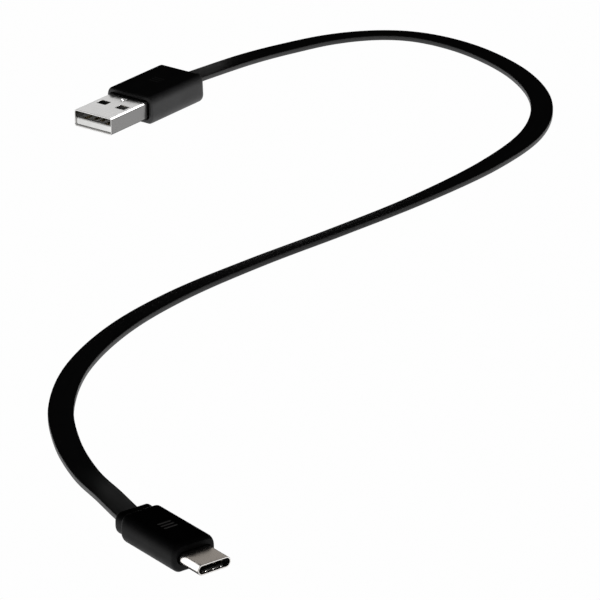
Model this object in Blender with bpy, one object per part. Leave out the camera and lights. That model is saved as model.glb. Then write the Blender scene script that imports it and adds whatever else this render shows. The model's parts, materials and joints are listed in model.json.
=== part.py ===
"""Flat charging cable with a rectangular plug at one end and a small reversible plug at the other.

World: metres, +Z up, the table is z = 0. The two plugs lie flat, the flat cable lies in an S between them.
Each plug is drawn in its own frame: x runs from the mouth back to the cable, y across, z up, with the
origin in the middle of the mouth. All named sizes are in millimetres.
"""
import math

import bmesh
import bpy
import numpy as np
from mathutils import Matrix, Vector

MM = 0.001

# ---------------------------------------------------------------- clearances
SLIP = 0.05            # between small parts that are pressed together
GAP = 0.15             # between moulded parts
SHADOW = 0.3           # open line between a metal shell and the mould around it

# ---------------------------------------------------------------- flat cable
CORD_W = 5.7
CORD_T = 1.3
CORD_EDGE = 0.22       # corner radius of the flat cable
CORD_LIFT = 0.02
CORD_SKIN = 0.875      # from the flat cable's edge to its outer wires
WIRE_D = CORD_T - 0.5
WIRE_PITCH = (CORD_W - 2 * CORD_SKIN - WIRE_D) / 3

# ---------------------------------------------------------------- rectangular plug
A_SHELL_W = 12.0
A_SHELL_H = 4.5
A_SHELL_WALL = 0.3
A_SHELL_CORNER = 0.6
A_SHELL_OUT = 14.8     # bare length in front of the mould
A_SHELL_IN = 4.75      # length held inside the mould
A_WINDOW_L = 2.5
A_WINDOW_W = 2.9
A_WINDOW_X = 8.2
A_WINDOW_Y = 3.0
A_DENT_X = 12.6
A_DENT_R = 0.55
A_DENT_DEEP = 0.14
A_TONGUE_T = 1.84
A_TONGUE_FRONT = 0.5
A_BLOCK_FRONT = 10.2
A_PIN_W = 1.0
A_PIN_T = 0.25
A_PIN_SUNK = 0.15      # how deep each contact sits in the tongue
A_PINS = (("ground", 3.5, 1.0), ("data_plus", 1.0, 2.0), ("data_minus", -1.0, 2.0), ("vbus", -3.5, 1.0))
A_MOULD_L = 22.4
A_MOULD_W = A_SHELL_W + 2.6
A_MOULD_H = A_SHELL_H + 2.9
A_MOULD_CORNER = 1.3
A_MOULD_FRONT_R = 0.8
A_MOULD_BACK_R = 1.7
A_MOULD_DRAFT = 0.02   # the lower half is this share wider, for leaving the mould
A_GRIP = 3.6           # length of the cable end held in the mould
A_EXIT = (-30.3, 136.0)  # where the cable leaves the mould
A_TURN = 53.7

# ---------------------------------------------------------------- reversible plug
C_SHELL_W = 8.25
C_SHELL_H = 2.4
C_SHELL_WALL = 0.3
C_SHELL_OUT = 6.65
C_SHELL_IN = 4.0
C_INNER_FRONT = 1.0    # insulator front behind the mouth
C_INNER_L = 6.5
C_MOUTH_W = C_SHELL_W - 1.55
C_MOUTH_H = 0.9
C_MOUTH_DEPTH = 6.2
C_PIN_W = 0.25
C_PIN_T = 0.1
C_PIN_PITCH = 0.5
C_PIN_END = 10.6
C_UPPER = (1, 4, 5, 6, 7, 9, 12)
C_LOWER = (1, 4, 9, 12)
C_LATCH_Y = C_SHELL_W / 2 - C_SHELL_WALL - 0.475
C_LATCH_T = 0.15
C_LATCH_H = 0.7
C_LATCH_END = 8.6
C_CARD_T = 0.6
C_CARD_W = 2 * C_LATCH_Y - 0.4
C_CARD_X = (8.2, 15.4)
C_MOULD_L = 18.8
C_MOULD_W = C_SHELL_W + 2.35
C_MOULD_H = C_SHELL_H + 4.0
C_MOULD_CORNER = 1.9
C_MOULD_FRONT_R = 1.2
C_MOULD_BACK_R = 1.0
C_COLLAR_L = 3.0
C_COLLAR_W = C_MOULD_W - 1.4
C_COLLAR_H = C_MOULD_H - 1.6
C_GRIP = 4.6
C_EXIT = (-34.5, -122.1)
C_TURN = 127.5

# ---------------------------------------------------------------- grip mark on each mould
MARK_L = 3.4
MARK_W = 0.55
MARK_PITCH = 1.15
MARK_DEEP = 0.2

# ---------------------------------------------------------------- the S the cable lies in: x, y, height, roll
ROUTE = (
    (-24.2, 143.8, 3.3, 0),
    (-14.0, 157.2, 2.1, 0),
    (-3.4, 168.2, 1.1, -1),
    (9.0, 176.5, 0.0, -3),
    (22.8, 179.5, 0.0, -4),
    (35.0, 176.2, 0.0, -3),
    (47.3, 165.6, 0.0, -1),
    (57.6, 148.2, 0.0, 0),
    (62.0, 127.6, 0.0, 0),
    (58.6, 105.8, 0.0, 0),
    (46.8, 83.2, 0.0, 5),
    (28.6, 59.4, 0.0, 12),
    (9.0, 38.6, 0.0, 14),
    (-10.6, 19.3, 0.0, 13),
    (-28.2, 0.1, 0.0, 9),
    (-41.2, -19.4, 0.0, 6),
    (-49.6, -41.0, 0.0, 4),
    (-52.2, -62.0, 0.0, 1),
    (-50.0, -80.4, 0.0, 0),
    (-45.3, -97.0, 1.2, 0),
    (-39.8, -110.6, 2.5, 0),
)
CORD_POINTS = 80


# ================================================================ small helpers
def clear_scene():
    for obj in list(bpy.data.objects):
        bpy.data.objects.remove(obj, do_unlink=True)


def make_material(name, colour, roughness, metallic=0.0):
    mat = bpy.data.materials.new(name)
    mat.use_nodes = True
    shader = mat.node_tree.nodes["Principled BSDF"]
    shader.inputs["Base Color"].default_value = (*colour, 1.0)
    shader.inputs["Roughness"].default_value = roughness
    shader.inputs["Metallic"].default_value = metallic
    mat.diffuse_color = (*colour, 1.0)
    return mat


def plug_point(end, turn, back):
    """Point in plan on a plug's middle line, so far back from the end where the cable leaves."""
    angle = math.radians(turn)
    return end[0] - back * math.cos(angle), end[1] - back * math.sin(angle)


def make_frame(name, place, height, turn, parent=None):
    """An empty that carries a plug: x runs from the mouth to the cable."""
    empty = bpy.data.objects.new(name, None)
    bpy.context.collection.objects.link(empty)
    empty.location = Vector((place[0], place[1], height)) * MM
    empty.rotation_euler = (0.0, 0.0, math.radians(turn))
    empty.parent = parent
    return empty


def finish(name, bm, parent, mat, smooth=None, pivot=(0.0, 0.0, 0.0)):
    """Turn a bmesh drawn in millimetres into a named object whose origin is its pivot."""
    bmesh.ops.translate(bm, verts=bm.verts, vec=-Vector(pivot))
    bmesh.ops.scale(bm, verts=bm.verts, vec=(MM, MM, MM))
    bmesh.ops.recalc_face_normals(bm, faces=bm.faces)
    mesh = bpy.data.meshes.new(name)
    bm.to_mesh(mesh)
    bm.free()
    obj = bpy.data.objects.new(name, mesh)
    bpy.context.collection.objects.link(obj)
    obj.location = Vector(pivot) * MM
    obj.parent = parent
    if mat is not None:
        mesh.materials.append(mat)
    if smooth:
        mesh.shade_smooth()
        mesh.set_sharp_from_angle(angle=math.radians(smooth))
    return obj


def rounded(width, height, radius, steps=4, draft=0.0):
    """Points (y, z) of a rounded rectangle; draft makes the lower half wider."""
    points = []
    for cy, cz, start in ((1, 1, 0), (-1, 1, 90), (-1, -1, 180), (1, -1, 270)):
        for k in range(steps + 1):
            angle = math.radians(start + 90.0 * k / steps)
            y = cy * (width / 2 - radius) + radius * math.cos(angle)
            z = cz * (height / 2 - radius) + radius * math.sin(angle)
            points.append((y * (1.0 - draft * 2 * z / height), z))
    return points


def loft(stations):
    """Closed body through sections at x; every section has the same number of points."""
    bm = bmesh.new()
    rings = []
    for x, points in stations:
        rings.append([bm.verts.new((x, y, z)) for y, z in points])
    for first, second in zip(rings, rings[1:]):
        count = len(first)
        for i in range(count):
            j = (i + 1) % count
            bm.faces.new((first[i], first[j], second[j], second[i]))
    bm.faces.new(list(reversed(rings[0])))
    bm.faces.new(rings[-1])
    return bm


def slab(x0, x1, y0, y1, z0, z1):
    corners = [(y0, z0), (y1, z0), (y1, z1), (y0, z1)]
    return loft([(x0, corners), (x1, corners)])


def plate(outline, z, thickness):
    """Closed flat body from an outline (x, y), from z up by its thickness."""
    bm = bmesh.new()
    face = bm.faces.new([bm.verts.new((x, y, z)) for x, y in outline])
    grown = bmesh.ops.extrude_face_region(bm, geom=[face])["geom"]
    moved = [part for part in grown if isinstance(part, bmesh.types.BMVert)]
    bmesh.ops.translate(bm, verts=moved, vec=(0, 0, thickness))
    return bm


def side_profile(points, y0, y1):
    """Closed body from an outline (x, z) run across from y0 to y1."""
    bm = bmesh.new()
    near = [bm.verts.new((x, y0, z)) for x, z in points]
    far = [bm.verts.new((x, y1, z)) for x, z in points]
    count = len(points)
    for i in range(count):
        j = (i + 1) % count
        bm.faces.new((near[i], near[j], far[j], far[i]))
    bm.faces.new(list(reversed(near)))
    bm.faces.new(far)
    return bm


def strip(path, thickness):
    """Outline (x, z) of a bent strip of even thickness along a centre line."""
    upper = []
    lower = []
    for i, (x, z) in enumerate(path):
        before = path[max(i - 1, 0)]
        after = path[min(i + 1, len(path) - 1)]
        run = Vector((after[0] - before[0], after[1] - before[1])).normalized()
        upper.append((x - run.y * thickness / 2, z + run.x * thickness / 2))
        lower.append((x + run.y * thickness / 2, z - run.x * thickness / 2))
    return upper + list(reversed(lower))


def join(bodies):
    """Put several separate cutters in one bmesh."""
    whole = bmesh.new()
    for bm in bodies:
        mesh = bpy.data.meshes.new("cut")
        bm.to_mesh(mesh)
        bm.free()
        whole.from_mesh(mesh)
        bpy.data.meshes.remove(mesh)
    return whole


def cut(obj, bm, name):
    """Take a body away from an object with an exact Boolean."""
    cutter = finish(name, bm, obj.parent, None)
    cutter.hide_render = True
    cutter.display_type = "WIRE"
    step = obj.modifiers.new(name, "BOOLEAN")
    step.operation = "DIFFERENCE"
    step.solver = "EXACT"
    step.object = cutter
    return obj


def round_ends(x0, x1, width, height, corner, r0, r1, draft=0.0, steps=4):
    """Sections of a rounded block whose two ends are rounded by r0 and r1."""
    stations = []
    for k in range(steps + 1):
        angle = math.radians(90.0 * k / steps)
        inset = r0 * (1 - math.sin(angle))
        section = rounded(width - 2 * inset, height - 2 * inset, max(corner - inset, 0.25), 4, draft)
        stations.append((x0 + r0 * (1 - math.cos(angle)), section))
    for k in range(steps + 1):
        angle = math.radians(90.0 * k / steps)
        inset = r1 * (1 - math.cos(angle))
        section = rounded(width - 2 * inset, height - 2 * inset, max(corner - inset, 0.25), 4, draft)
        stations.append((x1 - r1 * (1 - math.sin(angle)), section))
    return stations


def pill(x, y, z, length, width, depth):
    """A flat-bottomed pill, long along y, sunk into a top face."""
    outline = []
    for end, start in ((1, 0.0), (-1, 180.0)):
        for k in range(9):
            angle = math.radians(start + 180.0 * k / 8)
            centre = y + end * (length - width) / 2
            outline.append((x + width / 2 * math.cos(angle), centre + width / 2 * math.sin(angle)))
    return plate(outline, z - depth, depth + 1.0)


def mark_cutter(middle_x, top_z):
    """Three short parallel grooves."""
    places = [middle_x + k * MARK_PITCH for k in (-1, 0, 1)]
    return join([pill(x, 0.0, top_z, MARK_L, MARK_W, MARK_DEEP) for x in places])


# ================================================================ wires
def wire(name, points, parent, mat):
    """A short insulated wire end on a smooth curve."""
    curve = bpy.data.curves.new(name, "CURVE")
    curve.dimensions = "3D"
    curve.resolution_u = 1
    curve.render_resolution_u = 0
    curve.bevel_depth = WIRE_D / 2 * MM
    curve.bevel_resolution = 2
    curve.use_fill_caps = True
    spline = curve.splines.new("POLY")
    dense = smooth_path(points, 12)
    spline.points.add(len(dense) - 1)
    for point, place in zip(spline.points, dense):
        point.co = (*(Vector(place[:3]) * MM), 1.0)
    obj = bpy.data.objects.new(name, curve)
    bpy.context.collection.objects.link(obj)
    obj.parent = parent
    curve.materials.append(mat)
    return obj


def smooth_path(points, count):
    """Evenly spaced points on a smooth curve through the given ones."""
    knots = [np.array(p, float) for p in points]
    knots = [2 * knots[0] - knots[1]] + knots + [2 * knots[-1] - knots[-2]]
    dense = []
    for a, b, c, d in zip(knots, knots[1:], knots[2:], knots[3:]):
        for k in range(24):
            t = k / 24
            dense.append(0.5 * (2 * b + (c - a) * t + (2 * a - 5 * b + 4 * c - d) * t * t
                                + (3 * b - a - 3 * c + d) * t ** 3))
    dense.append(knots[-2])
    dense = np.array(dense)
    steps = np.linalg.norm(np.diff(dense[:, :3], axis=0), axis=1)
    along = np.concatenate(([0.0], np.cumsum(steps)))
    wanted = np.linspace(0.0, along[-1], count)
    return [tuple(np.interp(s, along, dense[:, k]) for k in range(dense.shape[1])) for s in wanted]


def wire_ends(prefix, parent, start_x, start_z, spread, end_x):
    """Four wires from the soldered ends to the cable's end."""
    colours = ("black", "green", "white", "red")
    for k, colour in enumerate(colours):
        y_end = WIRE_PITCH * (1.5 - k)
        y_start = spread[k]
        points = [
            (start_x, y_start, start_z),
            (start_x + 1.0, y_start, start_z),
            (0.5 * (start_x + end_x), 0.5 * (y_start + y_end), 0.5 * start_z),
            (end_x - 1.2, y_end, 0.0),
            (end_x, y_end, 0.0),
        ]
        wire(f"{prefix}_wire_{colour}", points, parent, WIRES[colour])


def inner_mould(letter, plug, span, half, wall):
    """Sleeve round the soldered ends, open in front, with a slot behind for the four wires."""
    front, back = span
    half_w, half_h = half
    block = slab(front, back, -half_w, half_w, -half_h, half_h)
    inner = finish(f"usb_{letter}_inner_mould", block, plug, PREMOULD)
    room_w = half_w - wall[0]
    room_h = half_h - wall[1]
    cut(inner, slab(front - 1.0, back - 1.2, -room_w, room_w, -room_h, room_h), f"cut_{letter}_room")
    wide = 1.5 * WIRE_PITCH + WIRE_D / 2 + GAP
    high = WIRE_D / 2 + GAP
    cut(inner, slab(back - 2.0, back + 1.0, -wide, wide, -high, high), f"cut_{letter}_exit")


# ================================================================ rectangular plug
def build_plug_a(root):
    middle = A_MOULD_H / 2
    mouth = plug_point(A_EXIT, A_TURN, A_SHELL_OUT + A_MOULD_L)
    plug = make_frame("usb_a_plug", mouth, middle, A_TURN, root)
    total = A_SHELL_OUT + A_SHELL_IN
    build_a_shell(plug, total)
    build_a_insulator(plug, total)
    build_a_moulds(plug, total)
    return plug


def build_a_shell(plug, total):
    lip = 0.12
    inner_w = A_SHELL_W - 2 * A_SHELL_WALL
    inner_h = A_SHELL_H - 2 * A_SHELL_WALL
    inner_r = A_SHELL_CORNER - A_SHELL_WALL
    body = loft([
        (0.0, rounded(A_SHELL_W - 2 * lip, A_SHELL_H - 2 * lip, A_SHELL_CORNER - lip)),
        (2 * lip, rounded(A_SHELL_W, A_SHELL_H, A_SHELL_CORNER)),
        (total, rounded(A_SHELL_W, A_SHELL_H, A_SHELL_CORNER)),
    ])
    shell = finish("usb_a_shell", body, plug, METAL, 35)
    bore = rounded(inner_w, inner_h, inner_r)
    cut(shell, loft([(-1.0, bore), (total + 1.0, bore)]), "cut_a_bore")
    windows = []
    front = A_WINDOW_X - A_WINDOW_L / 2
    for y in (-A_WINDOW_Y, A_WINDOW_Y):
        low = y - A_WINDOW_W / 2
        windows.append(slab(front, front + A_WINDOW_L, low, low + A_WINDOW_W, -A_SHELL_H, A_SHELL_H))
    cut(shell, join(windows), "cut_a_windows")
    ball = (A_DENT_R ** 2 + A_DENT_DEEP ** 2) / (2 * A_DENT_DEEP)
    dent = bmesh.new()
    centre = Matrix.Translation((A_DENT_X, 0.0, A_SHELL_H / 2 + ball - A_DENT_DEEP))
    bmesh.ops.create_uvsphere(dent, u_segments=32, v_segments=32, radius=ball, matrix=centre)
    cut(shell, dent, "cut_a_dent")


def build_a_insulator(plug, total):
    """Rear block and tongue, with a groove for each contact."""
    bottom = -A_SHELL_H / 2 + A_SHELL_WALL + SLIP
    top = A_SHELL_H / 2 - A_SHELL_WALL - SLIP
    tongue_top = bottom + A_TONGUE_T
    back = total - 0.3
    half = A_SHELL_W / 2 - A_SHELL_WALL - 0.25
    outline = [
        (A_TONGUE_FRONT, bottom + 0.25),
        (A_TONGUE_FRONT, tongue_top - 0.15),
        (A_TONGUE_FRONT + 0.15, tongue_top),
        (A_BLOCK_FRONT, tongue_top),
        (A_BLOCK_FRONT, top),
        (back, top),
        (back, bottom),
        (A_TONGUE_FRONT + 0.25, bottom),
    ]
    block = finish("usb_a_insulator", side_profile(outline, -half, half), plug, TONGUE)
    pin_low = tongue_top - A_PIN_SUNK
    groove = A_PIN_W / 2 + SLIP
    slots = []
    for name, y, front in A_PINS:
        low = pin_low - SLIP
        slots.append(slab(front - SLIP, total + 1.0, y - groove, y + groove, low, low + A_PIN_T + 0.2))
        blade = slab(front, total + 2.0, y - A_PIN_W / 2, y + A_PIN_W / 2, pin_low, pin_low + A_PIN_T)
        finish(f"usb_a_contact_{name}", blade, plug, GOLD)
    cut(block, join(slots), "cut_a_slots")


def build_a_moulds(plug, total):
    front = A_SHELL_OUT
    back = A_SHELL_OUT + A_MOULD_L
    grip = back - A_GRIP
    bore_w = A_SHELL_W + 2 * SHADOW
    bore_h = A_SHELL_H + 2 * SHADOW
    ends = (A_MOULD_FRONT_R, A_MOULD_BACK_R)
    block = loft(round_ends(front, back, A_MOULD_W, A_MOULD_H, A_MOULD_CORNER, *ends, A_MOULD_DRAFT))
    mould = finish("usb_a_overmould", block, plug, BLACK, 30)
    pocket = rounded(bore_w, bore_h, A_SHELL_CORNER + SHADOW)
    cut(mould, loft([(front - 1.0, pocket), (grip, pocket)]), "cut_a_pocket")
    slot = rounded(CORD_W + 2 * GAP, CORD_T + 2 * GAP, CORD_EDGE + GAP)
    cut(mould, loft([(grip - 1.0, slot), (back + 1.0, slot)]), "cut_a_outlet")
    cut(mould, mark_cutter(front + A_MOULD_L * 0.52, A_MOULD_H / 2), "cut_a_mark")
    inner_front = total + GAP
    inner_back = grip - GAP
    inner_mould("a", plug, (inner_front, inner_back), (A_SHELL_W / 2, A_SHELL_H / 2), (0.9, 0.7))
    pin_top = -A_SHELL_H / 2 + A_SHELL_WALL + SLIP + A_TONGUE_T - A_PIN_SUNK + A_PIN_T
    spread = [pin[1] * 0.8 if abs(pin[1]) > 2 else pin[1] for pin in A_PINS]
    wire_ends("usb_a", plug, total + 0.8, pin_top + SLIP + WIRE_D / 2, spread, inner_back + GAP - SLIP)


# ================================================================ reversible plug
def build_plug_c(root):
    middle = C_MOULD_H / 2
    mouth = plug_point(C_EXIT, C_TURN, C_SHELL_OUT + C_MOULD_L + C_COLLAR_L)
    plug = make_frame("usb_c_plug", mouth, middle, C_TURN, root)
    build_c_shell(plug)
    build_c_insulator(plug)
    build_c_contacts(plug)
    build_c_latches(plug)
    build_c_springs(plug)
    build_c_card(plug)
    build_c_moulds(plug)
    return plug


def build_c_shell(plug):
    total = C_SHELL_OUT + C_SHELL_IN
    lip = 0.1
    inner_w = C_SHELL_W - 2 * C_SHELL_WALL
    inner_h = C_SHELL_H - 2 * C_SHELL_WALL
    body = loft([
        (0.0, rounded(C_SHELL_W - 2 * lip, C_SHELL_H - 2 * lip, C_SHELL_H / 2 - lip, 8)),
        (0.3 * lip, rounded(C_SHELL_W - lip, C_SHELL_H - lip, C_SHELL_H / 2 - lip / 2 - 0.001, 8)),
        (1.2 * lip, rounded(C_SHELL_W, C_SHELL_H, C_SHELL_H / 2 - 0.001, 8)),
        (total, rounded(C_SHELL_W, C_SHELL_H, C_SHELL_H / 2 - 0.001, 8)),
    ])
    shell = finish("usb_c_shell", body, plug, STEEL, 35)
    bore = rounded(inner_w, inner_h, inner_h / 2 - 0.001, 8)
    cut(shell, loft([(-1.0, bore), (total + 1.0, bore)]), "cut_c_bore")


def build_c_insulator(plug):
    width = C_SHELL_W - 2 * C_SHELL_WALL - 2 * SLIP
    height = C_SHELL_H - 2 * C_SHELL_WALL - 2 * SLIP
    back = C_INNER_FRONT + C_INNER_L
    section = rounded(width, height, height / 2 - 0.001, 6)
    body = loft([(C_INNER_FRONT, section), (back, section)])
    block = finish("usb_c_insulator", body, plug, BLACK_INNER, 35)
    mouth = slab(0.0, C_MOUTH_DEPTH, -C_MOUTH_W / 2, C_MOUTH_W / 2, -C_MOUTH_H / 2, C_MOUTH_H / 2)
    cut(block, mouth, "cut_c_mouth")
    slots = []
    groove = C_PIN_W / 2 + 0.06
    for number in C_UPPER:
        y = C_PIN_PITCH * (number - 6.5)
        slots.append(slab(C_INNER_FRONT + 0.3, back + 1.0, y - groove, y + groove, 0.25, height))
    for number in C_LOWER:
        y = -C_PIN_PITCH * (number - 6.5)
        slots.append(slab(C_INNER_FRONT + 0.3, back + 1.0, y - groove, y + groove, -height, -0.25))
    cut(block, join(slots), "cut_c_slots")
    sides = []
    reach = C_LATCH_H / 2 + 0.06
    for side in (-1, 1):
        low = min(side * (C_LATCH_Y - 0.36), side * width)
        high = max(side * (C_LATCH_Y - 0.36), side * width)
        sides.append(slab(C_INNER_FRONT + 0.25, back + 1.0, low, high, -reach, reach))
    cut(block, join(sides), "cut_c_sides")


def build_c_contacts(plug):
    """Spring fingers: each row turns a little about the soldered ends when a tongue goes in."""
    rest = C_CARD_T / 2 + SLIP + C_PIN_T / 2
    beam = 0.55
    path = [(1.5, 0.5), (1.9, 0.36), (2.3, 0.33), (2.8, 0.38), (5.0, beam), (7.4, beam), (8.2, rest)]
    path.append((C_PIN_END, rest))
    pivot_z = rest
    for row, numbers, sign in (("a", C_UPPER, 1), ("b", C_LOWER, -1)):
        for number in numbers:
            y = sign * C_PIN_PITCH * (number - 6.5)
            outline = [(x, sign * z) for x, z in strip(path, C_PIN_T)]
            body = side_profile(outline, y - C_PIN_W / 2, y + C_PIN_W / 2)
            finish(f"usb_c_contact_{row}{number}", body, plug, GOLD, None, (C_PIN_END, y, sign * pivot_z))


def build_c_latches(plug):
    """Side latches with an inward hook at the front, turning about their rear roots."""
    half = C_LATCH_H / 2
    for name, side in (("left", 1), ("right", -1)):
        inner = C_LATCH_Y
        outer = C_LATCH_Y + C_LATCH_T
        plan = [(1.45, outer), (1.45, inner - 0.1), (1.75, inner - 0.3), (2.0, inner - 0.3), (2.35, inner),
                (C_LATCH_END, inner), (C_LATCH_END, outer)]
        arm = plate([(x, side * y) for x, y in plan], -half, 2 * half)
        pivot = (C_LATCH_END, side * (inner + outer) / 2, 0.0)
        finish(f"usb_c_latch_{name}", arm, plug, STEEL, None, pivot)


def build_c_springs(plug):
    """Shield springs: a bar with three bent fingers just inside the mouth, above and below."""
    back = C_INNER_FRONT - SLIP
    front = 0.25
    bar = back - 0.2
    half = 2.6
    outline = [(back, half), (back, -half), (bar, -half)]
    for y in (-1.9, 0.0, 1.9):
        outline += [(bar, y - 0.4), (front + 0.25, y - 0.35), (front, y - 0.25), (front, y + 0.25),
                    (front + 0.25, y + 0.35), (bar, y + 0.4)]
    outline.append((bar, half))
    thick = 0.08
    top = C_SHELL_H / 2 - C_SHELL_WALL - SLIP
    for name, sign in (("upper", 1), ("lower", -1)):
        bm = plate(outline, -thick, thick)
        bmesh.ops.triangulate(bm, faces=bm.faces)
        for vert in bm.verts:
            drop = 0.0 if vert.co.x > bar - 0.01 else (0.22 if vert.co.x > front + 0.1 else 0.16)
            vert.co.z = sign * (top + vert.co.z - drop)
        finish(f"usb_c_shield_spring_{name}", bm, plug, STEEL)


def build_c_card(plug):
    half_t = C_CARD_T / 2
    half_w = C_CARD_W / 2
    finish("usb_c_paddle_card", slab(C_CARD_X[0], C_CARD_X[1], -half_w, half_w, -half_t, half_t), plug, BOARD)
    low = half_t + SLIP
    finish("usb_c_resistor", slab(11.6, 12.6, -2.5, -2.0, low, low + 0.35), plug, CHIP)


def build_c_moulds(plug):
    front = C_SHELL_OUT
    body_back = C_SHELL_OUT + C_MOULD_L
    back = body_back + C_COLLAR_L
    grip = back - C_GRIP
    ends = (C_MOULD_FRONT_R, C_MOULD_BACK_R)
    stations = round_ends(front, body_back, C_MOULD_W, C_MOULD_H, C_MOULD_CORNER, *ends)
    collar_corner = C_MOULD_CORNER * C_COLLAR_H / C_MOULD_H
    last = rounded(C_COLLAR_W, C_COLLAR_H, collar_corner)
    stations.append((body_back + 0.001, last))
    stations += round_ends(body_back + 0.3, back, C_COLLAR_W, C_COLLAR_H, collar_corner, 0.01, 0.4)[4:]
    mould = finish("usb_c_overmould", loft(stations), plug, BLACK, 30)
    pocket_w = C_SHELL_W + 2 * GAP
    pocket_h = C_SHELL_H + 2 * GAP
    neck = rounded(pocket_w, pocket_h, pocket_h / 2 - 0.001, 8)
    inner_w = C_MOULD_W - 2.2
    inner_h = C_MOULD_H - 2.4
    shell_back = C_SHELL_OUT + C_SHELL_IN
    cut(mould, loft([(front - 1.0, neck), (shell_back + 0.5, neck)]), "cut_c_neck")
    cut(mould, slab(shell_back, grip, -inner_w / 2, inner_w / 2, -inner_h / 2, inner_h / 2), "cut_c_pocket")
    slot = rounded(CORD_W + 2 * GAP, CORD_T + 2 * GAP, CORD_EDGE + GAP)
    cut(mould, loft([(grip - 1.0, slot), (back + 1.0, slot)]), "cut_c_outlet")
    cut(mould, mark_cutter(front + C_MOULD_L * 0.5, C_MOULD_H / 2), "cut_c_mark")
    inner_front = shell_back + GAP
    inner_back = grip - GAP
    half_w = inner_w / 2 - GAP
    half_h = inner_h / 2 - GAP
    inner_mould("c", plug, (inner_front, inner_back), (half_w, half_h), (0.6, 0.35))
    lift = C_CARD_T / 2 + SLIP + WIRE_D / 2
    spread = [1.65, 0.55, -0.55, -1.65]
    wire_ends("usb_c", plug, C_CARD_X[1] - 1.4, lift, spread, inner_back + GAP - SLIP)


# ================================================================ flat cable
def table_height(roll):
    """Height of the cable's middle when its lower edge just clears the table."""
    turn = math.radians(roll)
    return CORD_T / 2 * math.cos(turn) + CORD_W / 2 * abs(math.sin(turn)) + CORD_LIFT


def cable_route():
    """Route through both plugs' outlets: x, y, z, roll."""
    points = []
    for back in (A_GRIP, 1.0, -1.5):
        points.append((*plug_point(A_EXIT, A_TURN, back), A_MOULD_H / 2, 0.0))
    points += [(x, y, max(height, table_height(roll)), roll) for x, y, height, roll in ROUTE]
    for back in (-1.5, 1.0, C_GRIP):
        points.append((*plug_point(C_EXIT, C_TURN, back), C_MOULD_H / 2, 0.0))
    return [(x, y, max(z, table_height(roll)), roll) for x, y, z, roll in smooth_path(points, CORD_POINTS)]


def build_cable(root):
    profile = bpy.data.curves.new("cable_section", "CURVE")
    profile.dimensions = "2D"
    outline = profile.splines.new("POLY")
    section = list(reversed(rounded(CORD_W, CORD_T, CORD_EDGE, 2)))
    outline.points.add(len(section) - 1)
    for point, (y, z) in zip(outline.points, section):
        point.co = (y * MM, z * MM, 0.0, 1.0)
    outline.use_cyclic_u = True
    shape = bpy.data.objects.new("cable_section", profile)
    bpy.context.collection.objects.link(shape)
    shape.hide_render = True
    curve = bpy.data.curves.new("cable_jacket", "CURVE")
    curve.dimensions = "3D"
    curve.twist_mode = "Z_UP"
    curve.resolution_u = 1
    curve.render_resolution_u = 0
    curve.bevel_mode = "OBJECT"
    curve.bevel_object = shape
    curve.use_fill_caps = True
    spline = curve.splines.new("POLY")
    path = cable_route()
    spline.points.add(len(path) - 1)
    for point, (x, y, z, roll) in zip(spline.points, path):
        point.co = (x * MM, y * MM, z * MM, 1.0)
        point.tilt = math.radians(roll)
    cable = bpy.data.objects.new("cable_jacket", curve)
    bpy.context.collection.objects.link(cable)
    cable.parent = root
    curve.materials.append(JACKET)
    return cable


def centre_on_plugs(root, cable):
    """Move everything so that the origin is under the middle of the two plugs."""
    bpy.context.view_layer.update()
    graph = bpy.context.evaluated_depsgraph_get()
    low = Vector((1e9, 1e9, 1e9))
    high = -low
    for obj in bpy.data.objects:
        if obj.type not in {"MESH", "CURVE"} or obj.hide_render or obj == cable:
            continue
        body = obj.evaluated_get(graph)
        mesh = body.to_mesh()
        for vert in mesh.vertices:
            place = obj.matrix_world @ vert.co
            low = Vector(map(min, low, place))
            high = Vector(map(max, high, place))
        body.to_mesh_clear()
    root.location = (-(low.x + high.x) / 2, -(low.y + high.y) / 2, -low.z)
    bpy.context.view_layer.update()


clear_scene()
METAL = make_material("nickel_plated_steel", (0.62, 0.62, 0.61), 0.25, 1.0)
STEEL = make_material("stainless_steel", (0.5, 0.48, 0.46), 0.28, 1.0)
GOLD = make_material("gold_plated_contact", (0.85, 0.62, 0.25), 0.22, 1.0)
BLACK = make_material("black_tpe_overmould", (0.012, 0.012, 0.013), 0.45)
JACKET = make_material("black_pvc_jacket", (0.013, 0.013, 0.014), 0.5)
BLACK_INNER = make_material("black_lcp_insulator", (0.01, 0.01, 0.01), 0.4)
TONGUE = make_material("pale_plastic_tongue", (0.75, 0.75, 0.74), 0.45)
PREMOULD = make_material("milky_polyethylene", (0.7, 0.7, 0.68), 0.5)
BOARD = make_material("green_circuit_board", (0.02, 0.16, 0.06), 0.4)
CHIP = make_material("ceramic_resistor", (0.03, 0.03, 0.035), 0.5)
WIRES = {
    "red": make_material("red_wire_insulation", (0.6, 0.02, 0.02), 0.4),
    "white": make_material("white_wire_insulation", (0.8, 0.8, 0.78), 0.4),
    "green": make_material("green_wire_insulation", (0.03, 0.35, 0.08), 0.4),
    "black": make_material("black_wire_insulation", (0.015, 0.015, 0.015), 0.4),
}
ROOT = make_frame("charging_cable", (0.0, 0.0), 0.0, 0.0)
build_plug_a(ROOT)
build_plug_c(ROOT)
CABLE = build_cable(ROOT)
centre_on_plugs(ROOT, CABLE)
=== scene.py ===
# %% [markdown]
# # A flat charging cable
# The object is a short flat cable with a broad plug at one end and a small reversible plug at the other.
# Its solids are already made and packed, and they are the frame that everything here hangs on.
# This lesson builds the surfaces that the eye sees around that frame: the cable, the two rubbery grips,
# the metal shells and what can be seen in their mouths, and then the finish of each.

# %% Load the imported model
import json
import math

import bmesh
import bpy
import numpy as np
from mathutils import Matrix, Vector


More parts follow.
